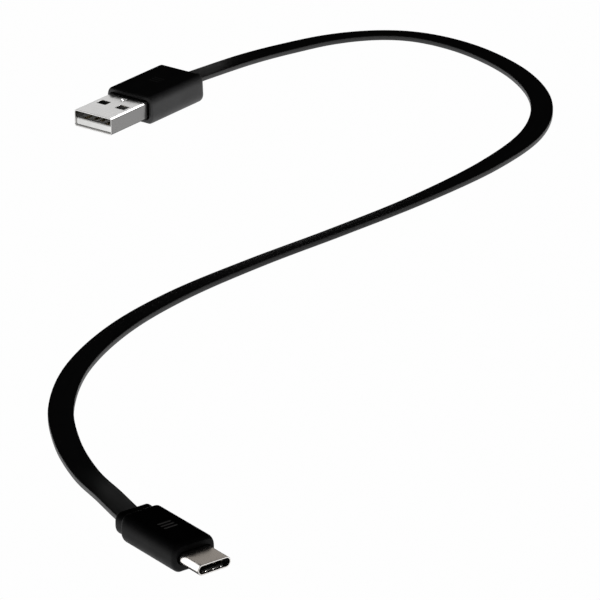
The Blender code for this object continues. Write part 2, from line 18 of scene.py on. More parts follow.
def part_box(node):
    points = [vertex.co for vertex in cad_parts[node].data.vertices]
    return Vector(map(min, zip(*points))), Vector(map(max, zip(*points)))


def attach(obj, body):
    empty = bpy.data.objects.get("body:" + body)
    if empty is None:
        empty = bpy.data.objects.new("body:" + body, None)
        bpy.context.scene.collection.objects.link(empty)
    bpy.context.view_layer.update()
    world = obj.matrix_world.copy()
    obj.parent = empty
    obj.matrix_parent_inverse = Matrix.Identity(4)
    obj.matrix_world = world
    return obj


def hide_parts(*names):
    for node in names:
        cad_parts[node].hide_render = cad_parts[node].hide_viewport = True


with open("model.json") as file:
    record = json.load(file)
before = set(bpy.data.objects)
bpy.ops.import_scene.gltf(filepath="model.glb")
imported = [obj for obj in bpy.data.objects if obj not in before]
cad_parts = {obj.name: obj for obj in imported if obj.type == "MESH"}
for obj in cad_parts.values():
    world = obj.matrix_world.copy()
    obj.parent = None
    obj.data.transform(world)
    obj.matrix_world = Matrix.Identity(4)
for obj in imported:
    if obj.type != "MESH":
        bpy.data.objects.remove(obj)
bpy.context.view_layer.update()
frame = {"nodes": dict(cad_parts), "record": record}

MM = 0.001
scene = bpy.context.scene
for body, names in frame["record"]["behaviour"]["bodies"].items():
    print(f"body {body}: {len(names)} solids")

# %% [markdown]
# The object is seen from the front and from 23 degrees above, through a long lens, which keeps the two
# plugs at nearly the same scale. The camera comes first, because everything is seen through it.
# A long lens stands far away; its distance, worked out from the lens and the length of the object, is given
# here.

# %% The camera
VIEW_ABOVE = math.radians(23.0)
LENS_MM = 270.0
DISTANCE = 1.0401
AIM = Vector((0.035514, 0.003721, 0.0))

lens = bpy.data.cameras.new("camera")
lens.lens = LENS_MM
lens.sensor_width = 36.0
lens.clip_start = 0.01
lens.clip_end = 20.0
camera = bpy.data.objects.new("camera", lens)
camera.location = AIM + DISTANCE * Vector((0.0, -math.cos(VIEW_ABOVE), math.sin(VIEW_ABOVE)))
camera.rotation_euler = (math.pi / 2 - VIEW_ABOVE, 0.0, 0.0)
scene.collection.objects.link(camera)
scene.camera = camera
scene.view_settings.view_transform = "Standard"
print(f"camera {DISTANCE:.2f} m away, {math.degrees(VIEW_ABOVE):.0f} degrees up")

# %% [markdown]
# Every node in this file, in a material or in a shape, is added by one small function: it sets the node's
# own settings, and then joins or fills its inputs. An input that is given a socket is joined to it.

# %% One function that adds a node
def add(tree, kind, settings=None, inputs=None):
    node = tree.nodes.new(kind)
    for name, value in (settings or {}).items():
        setattr(node, name, value)
    for name, value in (inputs or {}).items():
        if isinstance(value, bpy.types.NodeSocket):
            tree.links.new(value, node.inputs[name])
        else:
            node.inputs[name].default_value = value
    return node


# %% [markdown]
# Colours are written as the eye knows them, in hex, and turned into the linear values that light needs.
# A material starts as a shader with its constant values set on the shader's own sockets. The patterns
# that make it a real surface are joined on afterwards.

# %% Colours and a bare material
PLASTIC_IOR = 1.5
# Nearly every value of a noise lies between these two, so they are what gets stretched to a new range.
NOISE_MIDDLE = {"From Min": 0.3, "From Max": 0.7}


def linear(hex_colour):
    parts = [int(hex_colour[k:k + 2], 16) / 255 for k in (1, 3, 5)]
    return (*(p / 12.92 if p <= 0.04045 else ((p + 0.055) / 1.055) ** 2.4 for p in parts), 1.0)


def bare_material(name, roughness, metallic=0.0, specular=0.5):
    mat = bpy.data.materials.new(name)
    mat.use_nodes = True
    tree = mat.node_tree
    shader = tree.nodes["Principled BSDF"]
    shader.inputs["Roughness"].default_value = roughness
    shader.inputs["Metallic"].default_value = metallic
    shader.inputs["Specular IOR Level"].default_value = specular
    if metallic == 0.0:
        shader.inputs["IOR"].default_value = PLASTIC_IOR
    return mat, tree


def joined(mat, patterns):
    """The material, with its patterns joined to the inputs of its shader."""
    tree = mat.node_tree
    for name, socket in patterns.items():
        tree.links.new(socket, tree.nodes["Principled BSDF"].inputs[name])
    return mat


# %% [markdown]
# Each plug was drawn in its own small frame: x runs from the mouth back to the cable, y across, z up.
# The shell of each plug is as long in front of its middle as behind, so the middle of its box, its length
# and the way it is turned give the place of the mouth. The matrix also turns millimetres into metres, so
# every piece of a plug is modelled in millimetres where it is easy to think about.

# %% Where the two plugs are
BROAD_TURN = math.radians(53.7)
SMALL_TURN = math.radians(127.5)
BROAD_SHELL_OUT = 14.8
SMALL_SHELL_OUT = 6.65
BROAD_SHELL_L = BROAD_SHELL_OUT + 4.75
SMALL_SHELL_L = SMALL_SHELL_OUT + 4.0


def plug_place(shell_node, turn, length):
    low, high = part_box(shell_node)
    back = Vector((math.cos(turn), math.sin(turn), 0.0)) * length / 2 * MM
    mouth = (low + high) / 2 - back
    return Matrix.Translation(mouth) @ Matrix.Rotation(turn, 4, "Z") @ Matrix.Diagonal((MM, MM, MM, 1.0))


BROAD = plug_place("usb_a_shell", BROAD_TURN, BROAD_SHELL_L)
SMALL = plug_place("usb_c_shell", SMALL_TURN, SMALL_SHELL_L)
TABLE = Matrix.Diagonal((MM, MM, MM, 1.0))
print("broad plug's mouth", [round(v * 1000, 2) for v in BROAD.translation])
print("small plug's mouth", [round(v * 1000, 2) for v in SMALL.translation])

# %% [markdown]
# A pattern on a plug should lie along the plug, whichever way the plug points. A Mapping node does that:
# it scales the object's coordinates to millimetres and turns them into the plug's own frame.

# %% Coordinates in millimetres along a plug
def plug_millimetres(tree, place):
    turn = place.to_euler().z
    origin = Matrix.Rotation(-turn, 3, "Z") @ (place.translation / MM)
    coordinates = add(tree, "ShaderNodeTexCoord")
    mapping = add(tree, "ShaderNodeMapping", None, {
        "Vector": coordinates.outputs["Object"],
        "Location": -origin,
        "Rotation": (0.0, 0.0, -turn),
        "Scale": (1 / MM, 1 / MM, 1 / MM),
    })
    return mapping.outputs["Vector"]


def stretched(tree, place, sizes_mm):
    """The place, scaled so that one unit is one grain of the given size in millimetres each way."""
    return add(tree, "ShaderNodeMapping", None, {
        "Vector": place,
        "Scale": tuple(1 / size for size in sizes_mm),
    }).outputs["Vector"]


# %% [markdown]
# The grips are thermoplastic elastomer, a rubbery black plastic shot round the soldered ends in a steel
# mould. The mould was spark-eroded, so the skin has a fine even grain of about a tenth of a millimetre,
# which scatters light and keeps the black deep. The grain is drawn at 0.35 mm, coarser than the real one,
# because a finer one is lost at this distance. The little pill marks are polished, and their grooves are
# painted paler, a painted highlight that is faint on the broad grip. The small grip is given a darker black.

# %% Black moulded elastomer
ELASTOMER_GRAIN = 0.35
ELASTOMER_FLOW = 6.0
ELASTOMER_RELIEF = 0.03 * MM


def moulded_elastomer(name, place, darker, lighter, painted_groove_highlight, roughness, specular):
    mat, tree = bare_material(name, roughness, specular=specular)
    spot = plug_millimetres(tree, place)
    grain = add(tree, "ShaderNodeTexNoise", None, {
        "Vector": stretched(tree, spot, (ELASTOMER_GRAIN,) * 3),
        "Scale": 1.0, "Detail": 3.0, "Roughness": 0.6})
    flow = add(tree, "ShaderNodeTexNoise", None, {
        "Vector": stretched(tree, spot, (ELASTOMER_FLOW, ELASTOMER_FLOW / 2, ELASTOMER_FLOW / 2)),
        "Scale": 1.0, "Detail": 2.0})
    both = add(tree, "ShaderNodeMix", {"data_type": "FLOAT"}, {
        0: 0.4, 2: flow.outputs["Fac"], 3: grain.outputs["Fac"]})
    skin = add(tree, "ShaderNodeMix", {"data_type": "RGBA"}, {
        0: both.outputs[0], 6: linear(darker), 7: linear(lighter)})
    mark = add(tree, "ShaderNodeAttribute", {"attribute_name": "mark"})
    # Groove bottoms of the pill mark are painted paler: a painted highlight.
    colour = add(tree, "ShaderNodeMix", {"data_type": "RGBA"}, {
        0: mark.outputs["Fac"], 6: skin.outputs[2], 7: linear(painted_groove_highlight)})
    rough = add(tree, "ShaderNodeMapRange", None, {
        "Value": both.outputs[0], **NOISE_MIDDLE,
        "To Min": roughness - 0.07, "To Max": roughness + 0.07})
    smoother = add(tree, "ShaderNodeMath", {"operation": "MULTIPLY_ADD"}, {
        0: mark.outputs["Fac"], 1: -0.2, 2: rough.outputs["Result"]})
    bump = add(tree, "ShaderNodeBump", None, {
        "Strength": 0.35, "Distance": ELASTOMER_RELIEF, "Height": grain.outputs["Fac"]})
    return joined(mat, {
        "Base Color": colour.outputs[2], "Roughness": smoother.outputs[0], "Normal": bump.outputs["Normal"]})


BROAD_ELASTOMER = moulded_elastomer("moulded black elastomer, matt", BROAD, "#2e2e2f", "#424243", "#747476",
                                    0.55, 0.58)
# The small grip is given a darker black than the broad one.
SMALL_ELASTOMER = moulded_elastomer("moulded black elastomer, satin", SMALL, "#121213", "#1e1e1f", "#d8d8d6",
                                    0.5, 0.1)
print("elastomer grain", ELASTOMER_GRAIN, "mm")

# %% [markdown]
# The cable's jacket is soft PVC, pushed through a flat die. The die leaves very fine lines along the
# whole length, drawn here every 0.28 mm so that they show, and the plastic cools in faint cloudy patches.
# A pattern that follows a cable cannot use plain object coordinates, because the cable bends. It reads an
# attribute that the shape itself writes: millimetres along the cable, and across and up its section.

# %% Extruded jacket PVC
DIE_LINE = 0.28
DIE_LINE_RUN = 40.0
JACKET_MOTTLE = 9.0
JACKET_RELIEF = 0.02 * MM


def extruded_pvc():
    mat, tree = bare_material("extruded black PVC", 0.5, specular=0.6)
    spot = add(tree, "ShaderNodeAttribute", {"attribute_name": "strip_place"}).outputs["Vector"]
    lines = add(tree, "ShaderNodeTexNoise", None, {
        "Vector": stretched(tree, spot, (DIE_LINE_RUN, DIE_LINE, DIE_LINE)), "Scale": 1.0, "Detail": 2.0})
    mottle = add(tree, "ShaderNodeTexNoise", None, {
        "Vector": stretched(tree, spot, (JACKET_MOTTLE, JACKET_MOTTLE / 3, JACKET_MOTTLE / 3)),
        "Scale": 1.0, "Detail": 4.0, "Roughness": 0.6})
    both = add(tree, "ShaderNodeMix", {"data_type": "FLOAT"}, {
        0: 0.5, 2: mottle.outputs["Fac"], 3: lines.outputs["Fac"]})
    colour = add(tree, "ShaderNodeMix", {"data_type": "RGBA"}, {
        0: both.outputs[0], 6: linear("#2e2e2f"), 7: linear("#464647")})
    rough = add(tree, "ShaderNodeMapRange", None, {
        "Value": both.outputs[0], **NOISE_MIDDLE, "To Min": 0.42, "To Max": 0.58})
    bump = add(tree, "ShaderNodeBump", None, {
        "Strength": 0.3, "Distance": JACKET_RELIEF, "Height": lines.outputs["Fac"]})
    return joined(mat, {
        "Base Color": colour.outputs[2], "Roughness": rough.outputs["Result"],
        "Normal": bump.outputs["Normal"]})


JACKET_PVC = extruded_pvc()
print("jacket die lines every", DIE_LINE, "mm")

# %% [markdown]
# The broad shell is a steel strip that was folded into a box and then nickel plated. Rolling left faint
# lines along it, the plating left soft cloudy patches, and being pushed into sockets has scratched it
# lengthwise, most of all near the mouth. The small shell is drawn from one piece of stainless steel and
# only tumbled, which makes it a darker grey. Its warm cast comes from the card that lights it.

# %% Plated and tumbled steel
ROLL_LINE = 0.3
ROLL_LINE_RUN = 9.0
PLATING_CLOUD = 2.6
SCRATCH = 0.09
SCRATCH_RUN = 2.2
STEEL_RELIEF = 0.01 * MM


def sheet_steel(name, place, darker, lighter, smoothest, roughest, scratched_to):
    mat, tree = bare_material(name, (smoothest + roughest) / 2, metallic=1.0)
    spot = plug_millimetres(tree, place)
    lines = add(tree, "ShaderNodeTexNoise", None, {
        "Vector": stretched(tree, spot, (ROLL_LINE_RUN, ROLL_LINE, ROLL_LINE)), "Scale": 1.0, "Detail": 3.0})
    cloud = add(tree, "ShaderNodeTexNoise", None, {
        "Vector": stretched(tree, spot, (PLATING_CLOUD,) * 3), "Scale": 1.0, "Detail": 4.0})
    scuffs = add(tree, "ShaderNodeTexNoise", None, {
        "Vector": stretched(tree, spot, (SCRATCH_RUN, SCRATCH, SCRATCH)), "Scale": 1.0, "Detail": 1.0})
    deep = add(tree, "ShaderNodeMapRange", None, {
        "Value": scuffs.outputs["Fac"], "From Min": 0.62, "From Max": 0.72})
    along = add(tree, "ShaderNodeSeparateXYZ", None, {0: spot})
    near_mouth = add(tree, "ShaderNodeMapRange", None, {
        "Value": along.outputs["X"], "From Min": scratched_to, "From Max": 0.5})
    worn = add(tree, "ShaderNodeMath", {"operation": "MULTIPLY"}, {
        0: deep.outputs["Result"], 1: near_mouth.outputs["Result"]})
    both = add(tree, "ShaderNodeMix", {"data_type": "FLOAT"}, {
        0: 0.3, 2: cloud.outputs["Fac"], 3: lines.outputs["Fac"]})
    tone = add(tree, "ShaderNodeMix", {"data_type": "RGBA"}, {
        0: both.outputs[0], 6: linear(darker), 7: linear(lighter)})
    rough = add(tree, "ShaderNodeMapRange", None, {
        "Value": both.outputs[0], **NOISE_MIDDLE, "To Min": smoothest, "To Max": roughest})
    scuffed = add(tree, "ShaderNodeMath", {"operation": "MULTIPLY_ADD"}, {
        0: worn.outputs[0], 1: 0.2, 2: rough.outputs["Result"]})
    height = add(tree, "ShaderNodeMath", {"operation": "MULTIPLY_ADD"}, {
        0: worn.outputs[0], 1: -0.6, 2: lines.outputs["Fac"]})
    bump = add(tree, "ShaderNodeBump", None, {
        "Strength": 0.03, "Distance": STEEL_RELIEF, "Height": height.outputs[0]})
    return joined(mat, {
        "Base Color": tone.outputs[2], "Roughness": scuffed.outputs[0], "Normal": bump.outputs["Normal"]})


NICKEL = sheet_steel("nickel plated steel, folded", BROAD, "#cccbca", "#d9d8d7", 0.18, 0.26, 7.0)
STAINLESS = sheet_steel("stainless steel, deep drawn", SMALL, "#b7b4b1", "#c4c1be", 0.2, 0.27, 3.0)
SPRING_STEEL = sheet_steel("stainless spring steel", SMALL, "#c4c2bf", "#dedcda", 0.2, 0.3, 2.0)
print("rolling lines every", ROLL_LINE, "mm")

# %% [markdown]
# Contacts are copper alloy springs with a flash of gold where they touch. Gold is soft, so it is burnished
# in lines along each strip, and its colour drifts a little with the thickness of the plating.

# %% Gold plate
def gold_plate(name, place):
    mat, tree = bare_material(name, 0.22, metallic=1.0)
    spot = plug_millimetres(tree, place)
    drift = add(tree, "ShaderNodeTexNoise", None, {
        "Vector": stretched(tree, spot, (1.5, 0.12, 0.4)), "Scale": 1.0, "Detail": 3.0})
    colour = add(tree, "ShaderNodeMix", {"data_type": "RGBA"}, {
        0: drift.outputs["Fac"], 6: linear("#d6c294"), 7: linear("#ecdfc0")})
    rough = add(tree, "ShaderNodeMapRange", None, {
        "Value": drift.outputs["Fac"], **NOISE_MIDDLE, "To Min": 0.16, "To Max": 0.3})
    return joined(mat, {"Base Color": colour.outputs[2], "Roughness": rough.outputs["Result"]})


BROAD_GOLD = gold_plate("burnished gold plate, broad plug", BROAD)
SMALL_GOLD = gold_plate("burnished gold plate, small plug", SMALL)

# %% [markdown]
# The other plastics are all injection moulded: the pale PBT tongue of the broad plug, the black
# glass-filled LCP in the small one, the milky polyethylene shot round the solder joints, and the PVC of
# the four wires. One function makes them: a main colour that clouds towards a second one where the melt
# flowed, and a skin that is a little uneven, as a moulded skin is. From 10 mm behind the mouth the broad
# plug's tongue is painted black, painted shade that darkens the windows.

# %% Moulded plastics
PLASTIC_RELIEF = 0.01 * MM
# From this place back the tongue is painted black: painted shade inside the shell.
PAINTED_SHADE_FROM = 10.0


def moulded_plastic(name, place, first, second, roughness, flow_mm, grain_mm, specular=0.5, painted_shade_from=None):
    mat, tree = bare_material(name, roughness, specular=specular)
    spot = plug_millimetres(tree, place)
    flow = add(tree, "ShaderNodeTexNoise", None, {
        "Vector": stretched(tree, spot, flow_mm), "Scale": 1.0, "Detail": 3.0})
    grain = add(tree, "ShaderNodeTexNoise", None, {
        "Vector": stretched(tree, spot, (grain_mm,) * 3), "Scale": 1.0, "Detail": 2.0})
    colour = add(tree, "ShaderNodeMix", {"data_type": "RGBA"}, {
        0: flow.outputs["Fac"], 6: linear(first), 7: linear(second)})
    # Behind the given place the colour is painted near-black: painted shade.
    if painted_shade_from is not None:
        along = add(tree, "ShaderNodeSeparateXYZ", None, {0: spot})
        in_painted_shade = add(tree, "ShaderNodeMath", {"operation": "GREATER_THAN"}, {
            0: along.outputs["X"], 1: painted_shade_from})
        colour = add(tree, "ShaderNodeMix", {"data_type": "RGBA"}, {
            0: in_painted_shade.outputs[0], 6: colour.outputs[2], 7: linear("#161616")})
    rough = add(tree, "ShaderNodeMapRange", None, {
        "Value": flow.outputs["Fac"], **NOISE_MIDDLE,
        "To Min": roughness - 0.06, "To Max": roughness + 0.06})
    bump = add(tree, "ShaderNodeBump", None, {
        "Strength": 0.2, "Distance": PLASTIC_RELIEF, "Height": grain.outputs["Fac"]})
    return joined(mat, {
        "Base Color": colour.outputs[2], "Roughness": rough.outputs["Result"],
        "Normal": bump.outputs["Normal"]})


PALE_PBT = moulded_plastic("pale moulded PBT", BROAD, "#e4e4e2", "#f2f2f0", 0.42, (4.0, 1.5, 1.5), 0.2,
                           painted_shade_from=PAINTED_SHADE_FROM)
BLACK_LCP = moulded_plastic("black glass-filled LCP", SMALL, "#0b0b0b", "#1a1a1a", 0.45,
                            (2.0, 0.2, 0.2), 0.12, specular=0.3)
MILKY = {
    letter: moulded_plastic(f"milky polyethylene, {plug} plug", place, "#cfcdc4", "#e2e0d8", 0.4,
                            (5, 3, 3), 0.4)
    for letter, plug, place in (("a", "broad", BROAD), ("c", "small", SMALL))}
WIRE_COLOURS = {
    "black": ("#131314", "#202021"),
    "green": ("#1f7a35", "#2b9044"),
    "white": ("#d9d9d5", "#ebebe8"),
    "red": ("#a81a1c", "#c22a2a"),
}
print(len(MILKY) + 2, "moulded plastics")

# %% [markdown]
# A card of glass-fibre board carries the small plug's springs. Solder mask covers it in green, except for
# the tinned pads at both ends, and the copper traces under the mask show as slightly lighter stripes. The
# small resistor on it is dark glaze on a ceramic chip, with tinned caps at its two ends.

# %% Circuit board and chip
PAD_PITCH = 0.5
PAD_HALF_GAP = 0.11
FRONT_PADS_TO = 10.9
BACK_PADS_FROM = 13.6
CHIP_X = 12.1
CHIP_CAPS_FROM = 0.3


def circuit_board():
    mat, tree = bare_material("green solder mask over copper", 0.35)
    spot = plug_millimetres(tree, SMALL)
    split = add(tree, "ShaderNodeSeparateXYZ", None, {0: spot})
    stripes = add(tree, "ShaderNodeMath", {"operation": "PINGPONG"}, {
        0: split.outputs["Y"], 1: PAD_PITCH / 2})
    on_pad = add(tree, "ShaderNodeMath", {"operation": "GREATER_THAN"}, {
        0: stripes.outputs[0], 1: PAD_HALF_GAP})
    front = add(tree, "ShaderNodeMath", {"operation": "LESS_THAN"}, {
        0: split.outputs["X"], 1: FRONT_PADS_TO})
    back = add(tree, "ShaderNodeMath", {"operation": "GREATER_THAN"}, {
        0: split.outputs["X"], 1: BACK_PADS_FROM})
    ends = add(tree, "ShaderNodeMath", {"operation": "MAXIMUM"}, {
        0: front.outputs[0], 1: back.outputs[0]})
    pad = add(tree, "ShaderNodeMath", {"operation": "MULTIPLY"}, {
        0: on_pad.outputs[0], 1: ends.outputs[0]})
    weave = add(tree, "ShaderNodeTexNoise", None, {
        "Vector": stretched(tree, spot, (0.3,) * 3), "Scale": 1.0, "Detail": 2.0})
    traces = add(tree, "ShaderNodeMix", {"data_type": "RGBA"}, {
        0: on_pad.outputs[0], 6: linear("#0e4a24"), 7: linear("#1b6b36")})
    mask = add(tree, "ShaderNodeMix", {"data_type": "RGBA", "blend_type": "OVERLAY"}, {
        0: 0.25, 6: traces.outputs[2], 7: weave.outputs["Color"]})
    colour = add(tree, "ShaderNodeMix", {"data_type": "RGBA"}, {
        0: pad.outputs[0], 6: mask.outputs[2], 7: linear("#c9c5bd")})
    return joined(mat, {"Base Color": colour.outputs[2], "Metallic": pad.outputs[0]})


def chip_glaze():
    mat, tree = bare_material("glazed ceramic chip with tinned ends", 0.3)
    spot = plug_millimetres(tree, SMALL)
    split = add(tree, "ShaderNodeSeparateXYZ", None, {0: spot})
    from_middle = add(tree, "ShaderNodeMath", {"operation": "SUBTRACT"}, {
        0: split.outputs["X"], 1: CHIP_X})
    away = add(tree, "ShaderNodeMath", {"operation": "ABSOLUTE"}, {0: from_middle.outputs[0]})
    cap = add(tree, "ShaderNodeMath", {"operation": "GREATER_THAN"}, {
        0: away.outputs[0], 1: CHIP_CAPS_FROM})
    glaze = add(tree, "ShaderNodeTexNoise", None, {
        "Vector": stretched(tree, spot, (0.2,) * 3), "Scale": 1.0, "Detail": 2.0})
    body = add(tree, "ShaderNodeMix", {"data_type": "RGBA"}, {
        0: glaze.outputs["Fac"], 6: linear("#15161a"), 7: linear("#26272c")})
    colour = add(tree, "ShaderNodeMix", {"data_type": "RGBA"}, {
        0: cap.outputs[0], 6: body.outputs[2], 7: linear("#c4c4c2")})
    return joined(mat, {"Base Color": colour.outputs[2], "Metallic": cap.outputs[0]})


BOARD = circuit_board()
CHIP = chip_glaze()
print("pads every", PAD_PITCH, "mm")

# %% [markdown]
# The cable, the contacts and the springs are all the same idea: a flat strip that follows a route. So
# one Geometry Nodes tree makes them. It draws a rectangle, rounds its corners, steps along the route in
# even steps, and sweeps the rectangle along it, keeping the wide side level unless the route is rolled.
# It also writes down where each point lies along and across the strip, for the patterns to follow.

# %% A tree for a flat strip along a route
STRIP_SIZES = ("Width", "Thickness", "Edge radius", "Step")


def new_tree(name):
    tree = bpy.data.node_groups.new(name, "GeometryNodeTree")
    tree.interface.new_socket("Geometry", in_out="INPUT", socket_type="NodeSocketGeometry")
    for size in STRIP_SIZES:
        tree.interface.new_socket(size, in_out="INPUT", socket_type="NodeSocketFloat")
    tree.interface.new_socket("Edge steps", in_out="INPUT", socket_type="NodeSocketInt")
    tree.interface.new_socket("Material", in_out="INPUT", socket_type="NodeSocketMaterial")
    tree.interface.new_socket("Geometry", in_out="OUTPUT", socket_type="NodeSocketGeometry")
    return tree


def make_strip_tree():
    tree = new_tree("flat strip along a route")
    start = add(tree, "NodeGroupInput").outputs
    outline = add(tree, "GeometryNodeCurvePrimitiveQuadrilateral", None, {
        "Width": start["Width"], "Height": start["Thickness"]})
    section = add(tree, "GeometryNodeFilletCurve", {"mode": "POLY"}, {
        "Curve": outline.outputs[0], "Count": start["Edge steps"], "Radius": start["Edge radius"],
        "Limit Radius": True})
    across = add(tree, "GeometryNodeCaptureAttribute", None, {0: section.outputs[0]})
    across.capture_items.new("VECTOR", "across")
    tree.links.new(add(tree, "GeometryNodeInputPosition").outputs[0], across.inputs["across"])
    even = add(tree, "GeometryNodeResampleCurve", {"mode": "LENGTH"}, {
        "Curve": start["Geometry"], "Length": start["Step"]})
    level = add(tree, "GeometryNodeSetCurveNormal", {"mode": "Z_UP"}, {"Curve": even.outputs[0]})
    along = add(tree, "GeometryNodeCaptureAttribute", None, {0: level.outputs[0]})
    along.capture_items.new("FLOAT", "along")
    tree.links.new(add(tree, "GeometryNodeSplineParameter").outputs["Length"], along.inputs["along"])
    swept = add(tree, "GeometryNodeCurveToMesh", None, {
        "Curve": along.outputs[0], "Profile Curve": across.outputs[0], "Fill Caps": True})
    split = add(tree, "ShaderNodeSeparateXYZ", None, {0: across.outputs["across"]})
    spot = add(tree, "ShaderNodeCombineXYZ", None, {
        "X": along.outputs["along"], "Y": split.outputs["X"], "Z": split.outputs["Y"]})
    marked = add(tree, "GeometryNodeStoreNamedAttribute", {"data_type": "FLOAT_VECTOR", "domain": "POINT"}, {
        "Geometry": swept.outputs[0], "Name": "strip_place", "Value": spot.outputs[0]})
    real = add(tree, "GeometryNodeRealizeInstances", None, {"Geometry": marked.outputs[0]})
    painted = add(tree, "GeometryNodeSetMaterial", None, {
        "Geometry": real.outputs[0], "Material": start["Material"]})
    add(tree, "NodeGroupOutput", None, {"Geometry": painted.outputs[0]})
    return tree


STRIP_TREE = make_strip_tree()
print("strip tree has", len(STRIP_TREE.nodes), "nodes")

# %% [markdown]
# Contacts come in rows. A second tree puts the same bent strip at every point of a row: the points are
# the pin positions, and the bent route of one strip is the pattern. It calls the first tree for the strip.

# %% A tree for a row of equal strips
def make_row_tree():
    tree = new_tree("row of equal strips")
    tree.interface.new_socket("Route", in_out="INPUT", socket_type="NodeSocketObject")
    start = add(tree, "NodeGroupInput").outputs
    route = add(tree, "GeometryNodeObjectInfo", None, {"Object": start["Route"]})
    strip = add(tree, "GeometryNodeGroup", {"node_tree": STRIP_TREE}, {"Geometry": route.outputs["Geometry"]})
    for name in (*STRIP_SIZES, "Edge steps", "Material"):
        tree.links.new(start[name], strip.inputs[name])
    row = add(tree, "GeometryNodeInstanceOnPoints", None, {
        "Points": start["Geometry"], "Instance": strip.outputs[0]})
    real = add(tree, "GeometryNodeRealizeInstances", None, {"Geometry": row.outputs[0]})
    painted = add(tree, "GeometryNodeSetMaterial", None, {
        "Geometry": real.outputs[0], "Material": start["Material"]})
    add(tree, "NodeGroupOutput", None, {"Geometry": painted.outputs[0]})
    return tree


ROW_TREE = make_row_tree()
print("row tree has", len(ROW_TREE.nodes), "nodes")

# %% [markdown]
# A tree is used by giving it to an object as a modifier. Its inputs are set by their identifiers before
# anything looks at the result. Then the result is taken as a plain mesh, and the helper object goes.

# %% From a tree to a plain mesh
def link(obj):
    scene.collection.objects.link(obj)
    return obj


def plain(obj, name):
    """A new object with the finished mesh of this one, which is removed."""
    graph = bpy.context.evaluated_depsgraph_get()
    shown = obj.evaluated_get(graph)
    mesh = bpy.data.meshes.new_from_object(shown, preserve_all_data_layers=True, depsgraph=graph)
    bpy.data.objects.remove(obj, do_unlink=True)
    mesh.name = name
    return link(bpy.data.objects.new(name, mesh))


def grown(obj, tree, values, name):
    step = obj.modifiers.new("shape", "NODES")
    step.node_group = tree
    for item in tree.interface.items_tree:
        if item.item_type == "SOCKET" and item.in_out == "INPUT" and item.name in values:
            step[item.identifier] = values[item.name]
    return plain(obj, name)


def route_object(name, routes):
    """Open routes as one curve object; a point is x, y, z in millimetres and its roll in radians."""
    curve = bpy.data.curves.new(name, "CURVE")
    curve.dimensions = "3D"
    for route in routes:
        spline = curve.splines.new("POLY")
        spline.points.add(len(route) - 1)
        for point, (x, y, z, roll) in zip(spline.points, route):
            point.co = (x, y, z, 1.0)
            point.tilt = roll
    return link(bpy.data.objects.new(name, curve))


def strip_sizes(*sizes):
    """Width, thickness, edge radius and step in millimetres, and the number of steps round an edge."""
    return dict(zip((*STRIP_SIZES, "Edge steps"), sizes))


def strips_along(name, routes, sizes, material):
    return grown(route_object("routes", routes), STRIP_TREE, {**sizes, "Material": material}, name)


# %% [markdown]
# When a piece is finished it goes where its plug is, gets its material, follows a body of the frame and
# says which solids it stands for. Its object stays at the origin, with the place in the mesh, as the
# frame's own solids have it.

# %% Put a finished piece in its place
MADE = []


def settle(obj, place, material, body, nodes, crease=40.0):
    mesh = obj.data
    mesh.transform(place)
    mesh.materials.clear()
    mesh.materials.append(material)
    mesh.shade_smooth()
    mesh.set_sharp_from_angle(angle=math.radians(crease))
    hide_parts(*nodes)
    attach(obj, body)
    mesh.calc_loop_triangles()
    MADE.append(obj)
    print(f"{obj.name}: {len(mesh.loop_triangles)} triangles for {', '.join(nodes)}")


# %% [markdown]
# The cable lies in an S. It leaves the broad plug straight and level, sinks onto the table, swings round
# to the right, crosses back with a slight roll, and rises into the small plug's collar. Those are the
# same points as the solid cable has, so the two lie in one another. A smooth curve goes through all of
# them: between two points it leaves along the line that joins their neighbours. The last few millimetres
# at each end are held inside the broad plug's grip and the small plug's collar.

# %% The route of the cable
CORD_W = 5.7
CORD_T = 1.3
CORD_EDGE = 0.22
CORD_LIFT = 0.02
BROAD_HELD = 3.6
SMALL_HELD = 4.6
BROAD_EXIT = (-30.3, 136.0)
SMALL_EXIT = (-34.5, -122.1)
BROAD_HEIGHT = 3.7
SMALL_HEIGHT = 3.2
BROAD_LENGTH = 37.2
ROUTE = (
    (-24.2, 143.8, 3.3, 0), (-14.0, 157.2, 2.1, 0), (-3.4, 168.2, 1.1, -1), (9.0, 176.5, 0.0, -3),
    (22.8, 179.5, 0.0, -4), (35.0, 176.2, 0.0, -3), (47.3, 165.6, 0.0, -1), (57.6, 148.2, 0.0, 0),
    (62.0, 127.6, 0.0, 0), (58.6, 105.8, 0.0, 0), (46.8, 83.2, 0.0, 5), (28.6, 59.4, 0.0, 12),
    (9.0, 38.6, 0.0, 14), (-10.6, 19.3, 0.0, 13), (-28.2, 0.1, 0.0, 9), (-41.2, -19.4, 0.0, 6),
    (-49.6, -41.0, 0.0, 4), (-52.2, -62.0, 0.0, 1), (-50.0, -80.4, 0.0, 0), (-45.3, -97.0, 1.2, 0),
    (-39.8, -110.6, 2.5, 0),
)


def table_height(roll):
    turn = math.radians(roll)
    return CORD_T / 2 * math.cos(turn) + CORD_W / 2 * abs(math.sin(turn)) + CORD_LIFT


def behind(end, turn, back):
    return end[0] - back * math.cos(turn), end[1] - back * math.sin(turn)


def smooth_route(points, count):
    knots = [np.array(p, float) for p in points]
    knots = [2 * knots[0] - knots[1]] + knots + [2 * knots[-1] - knots[-2]]
    dense = []
    for a, b, c, d in zip(knots, knots[1:], knots[2:], knots[3:]):
        for t in np.arange(24) / 24:
            dense.append(0.5 * (2 * b + (c - a) * t + (2 * a - 5 * b + 4 * c - d) * t * t
                                + (3 * b - a - 3 * c + d) * t ** 3))
    dense = np.array(dense + [knots[-2]])
    steps = np.linalg.norm(np.diff(dense[:, :3], axis=0), axis=1)
    along = np.concatenate(([0.0], np.cumsum(steps)))
    wanted = np.linspace(0.0, along[-1], count)
    return np.stack([np.interp(wanted, along, dense[:, k]) for k in range(4)], axis=1)


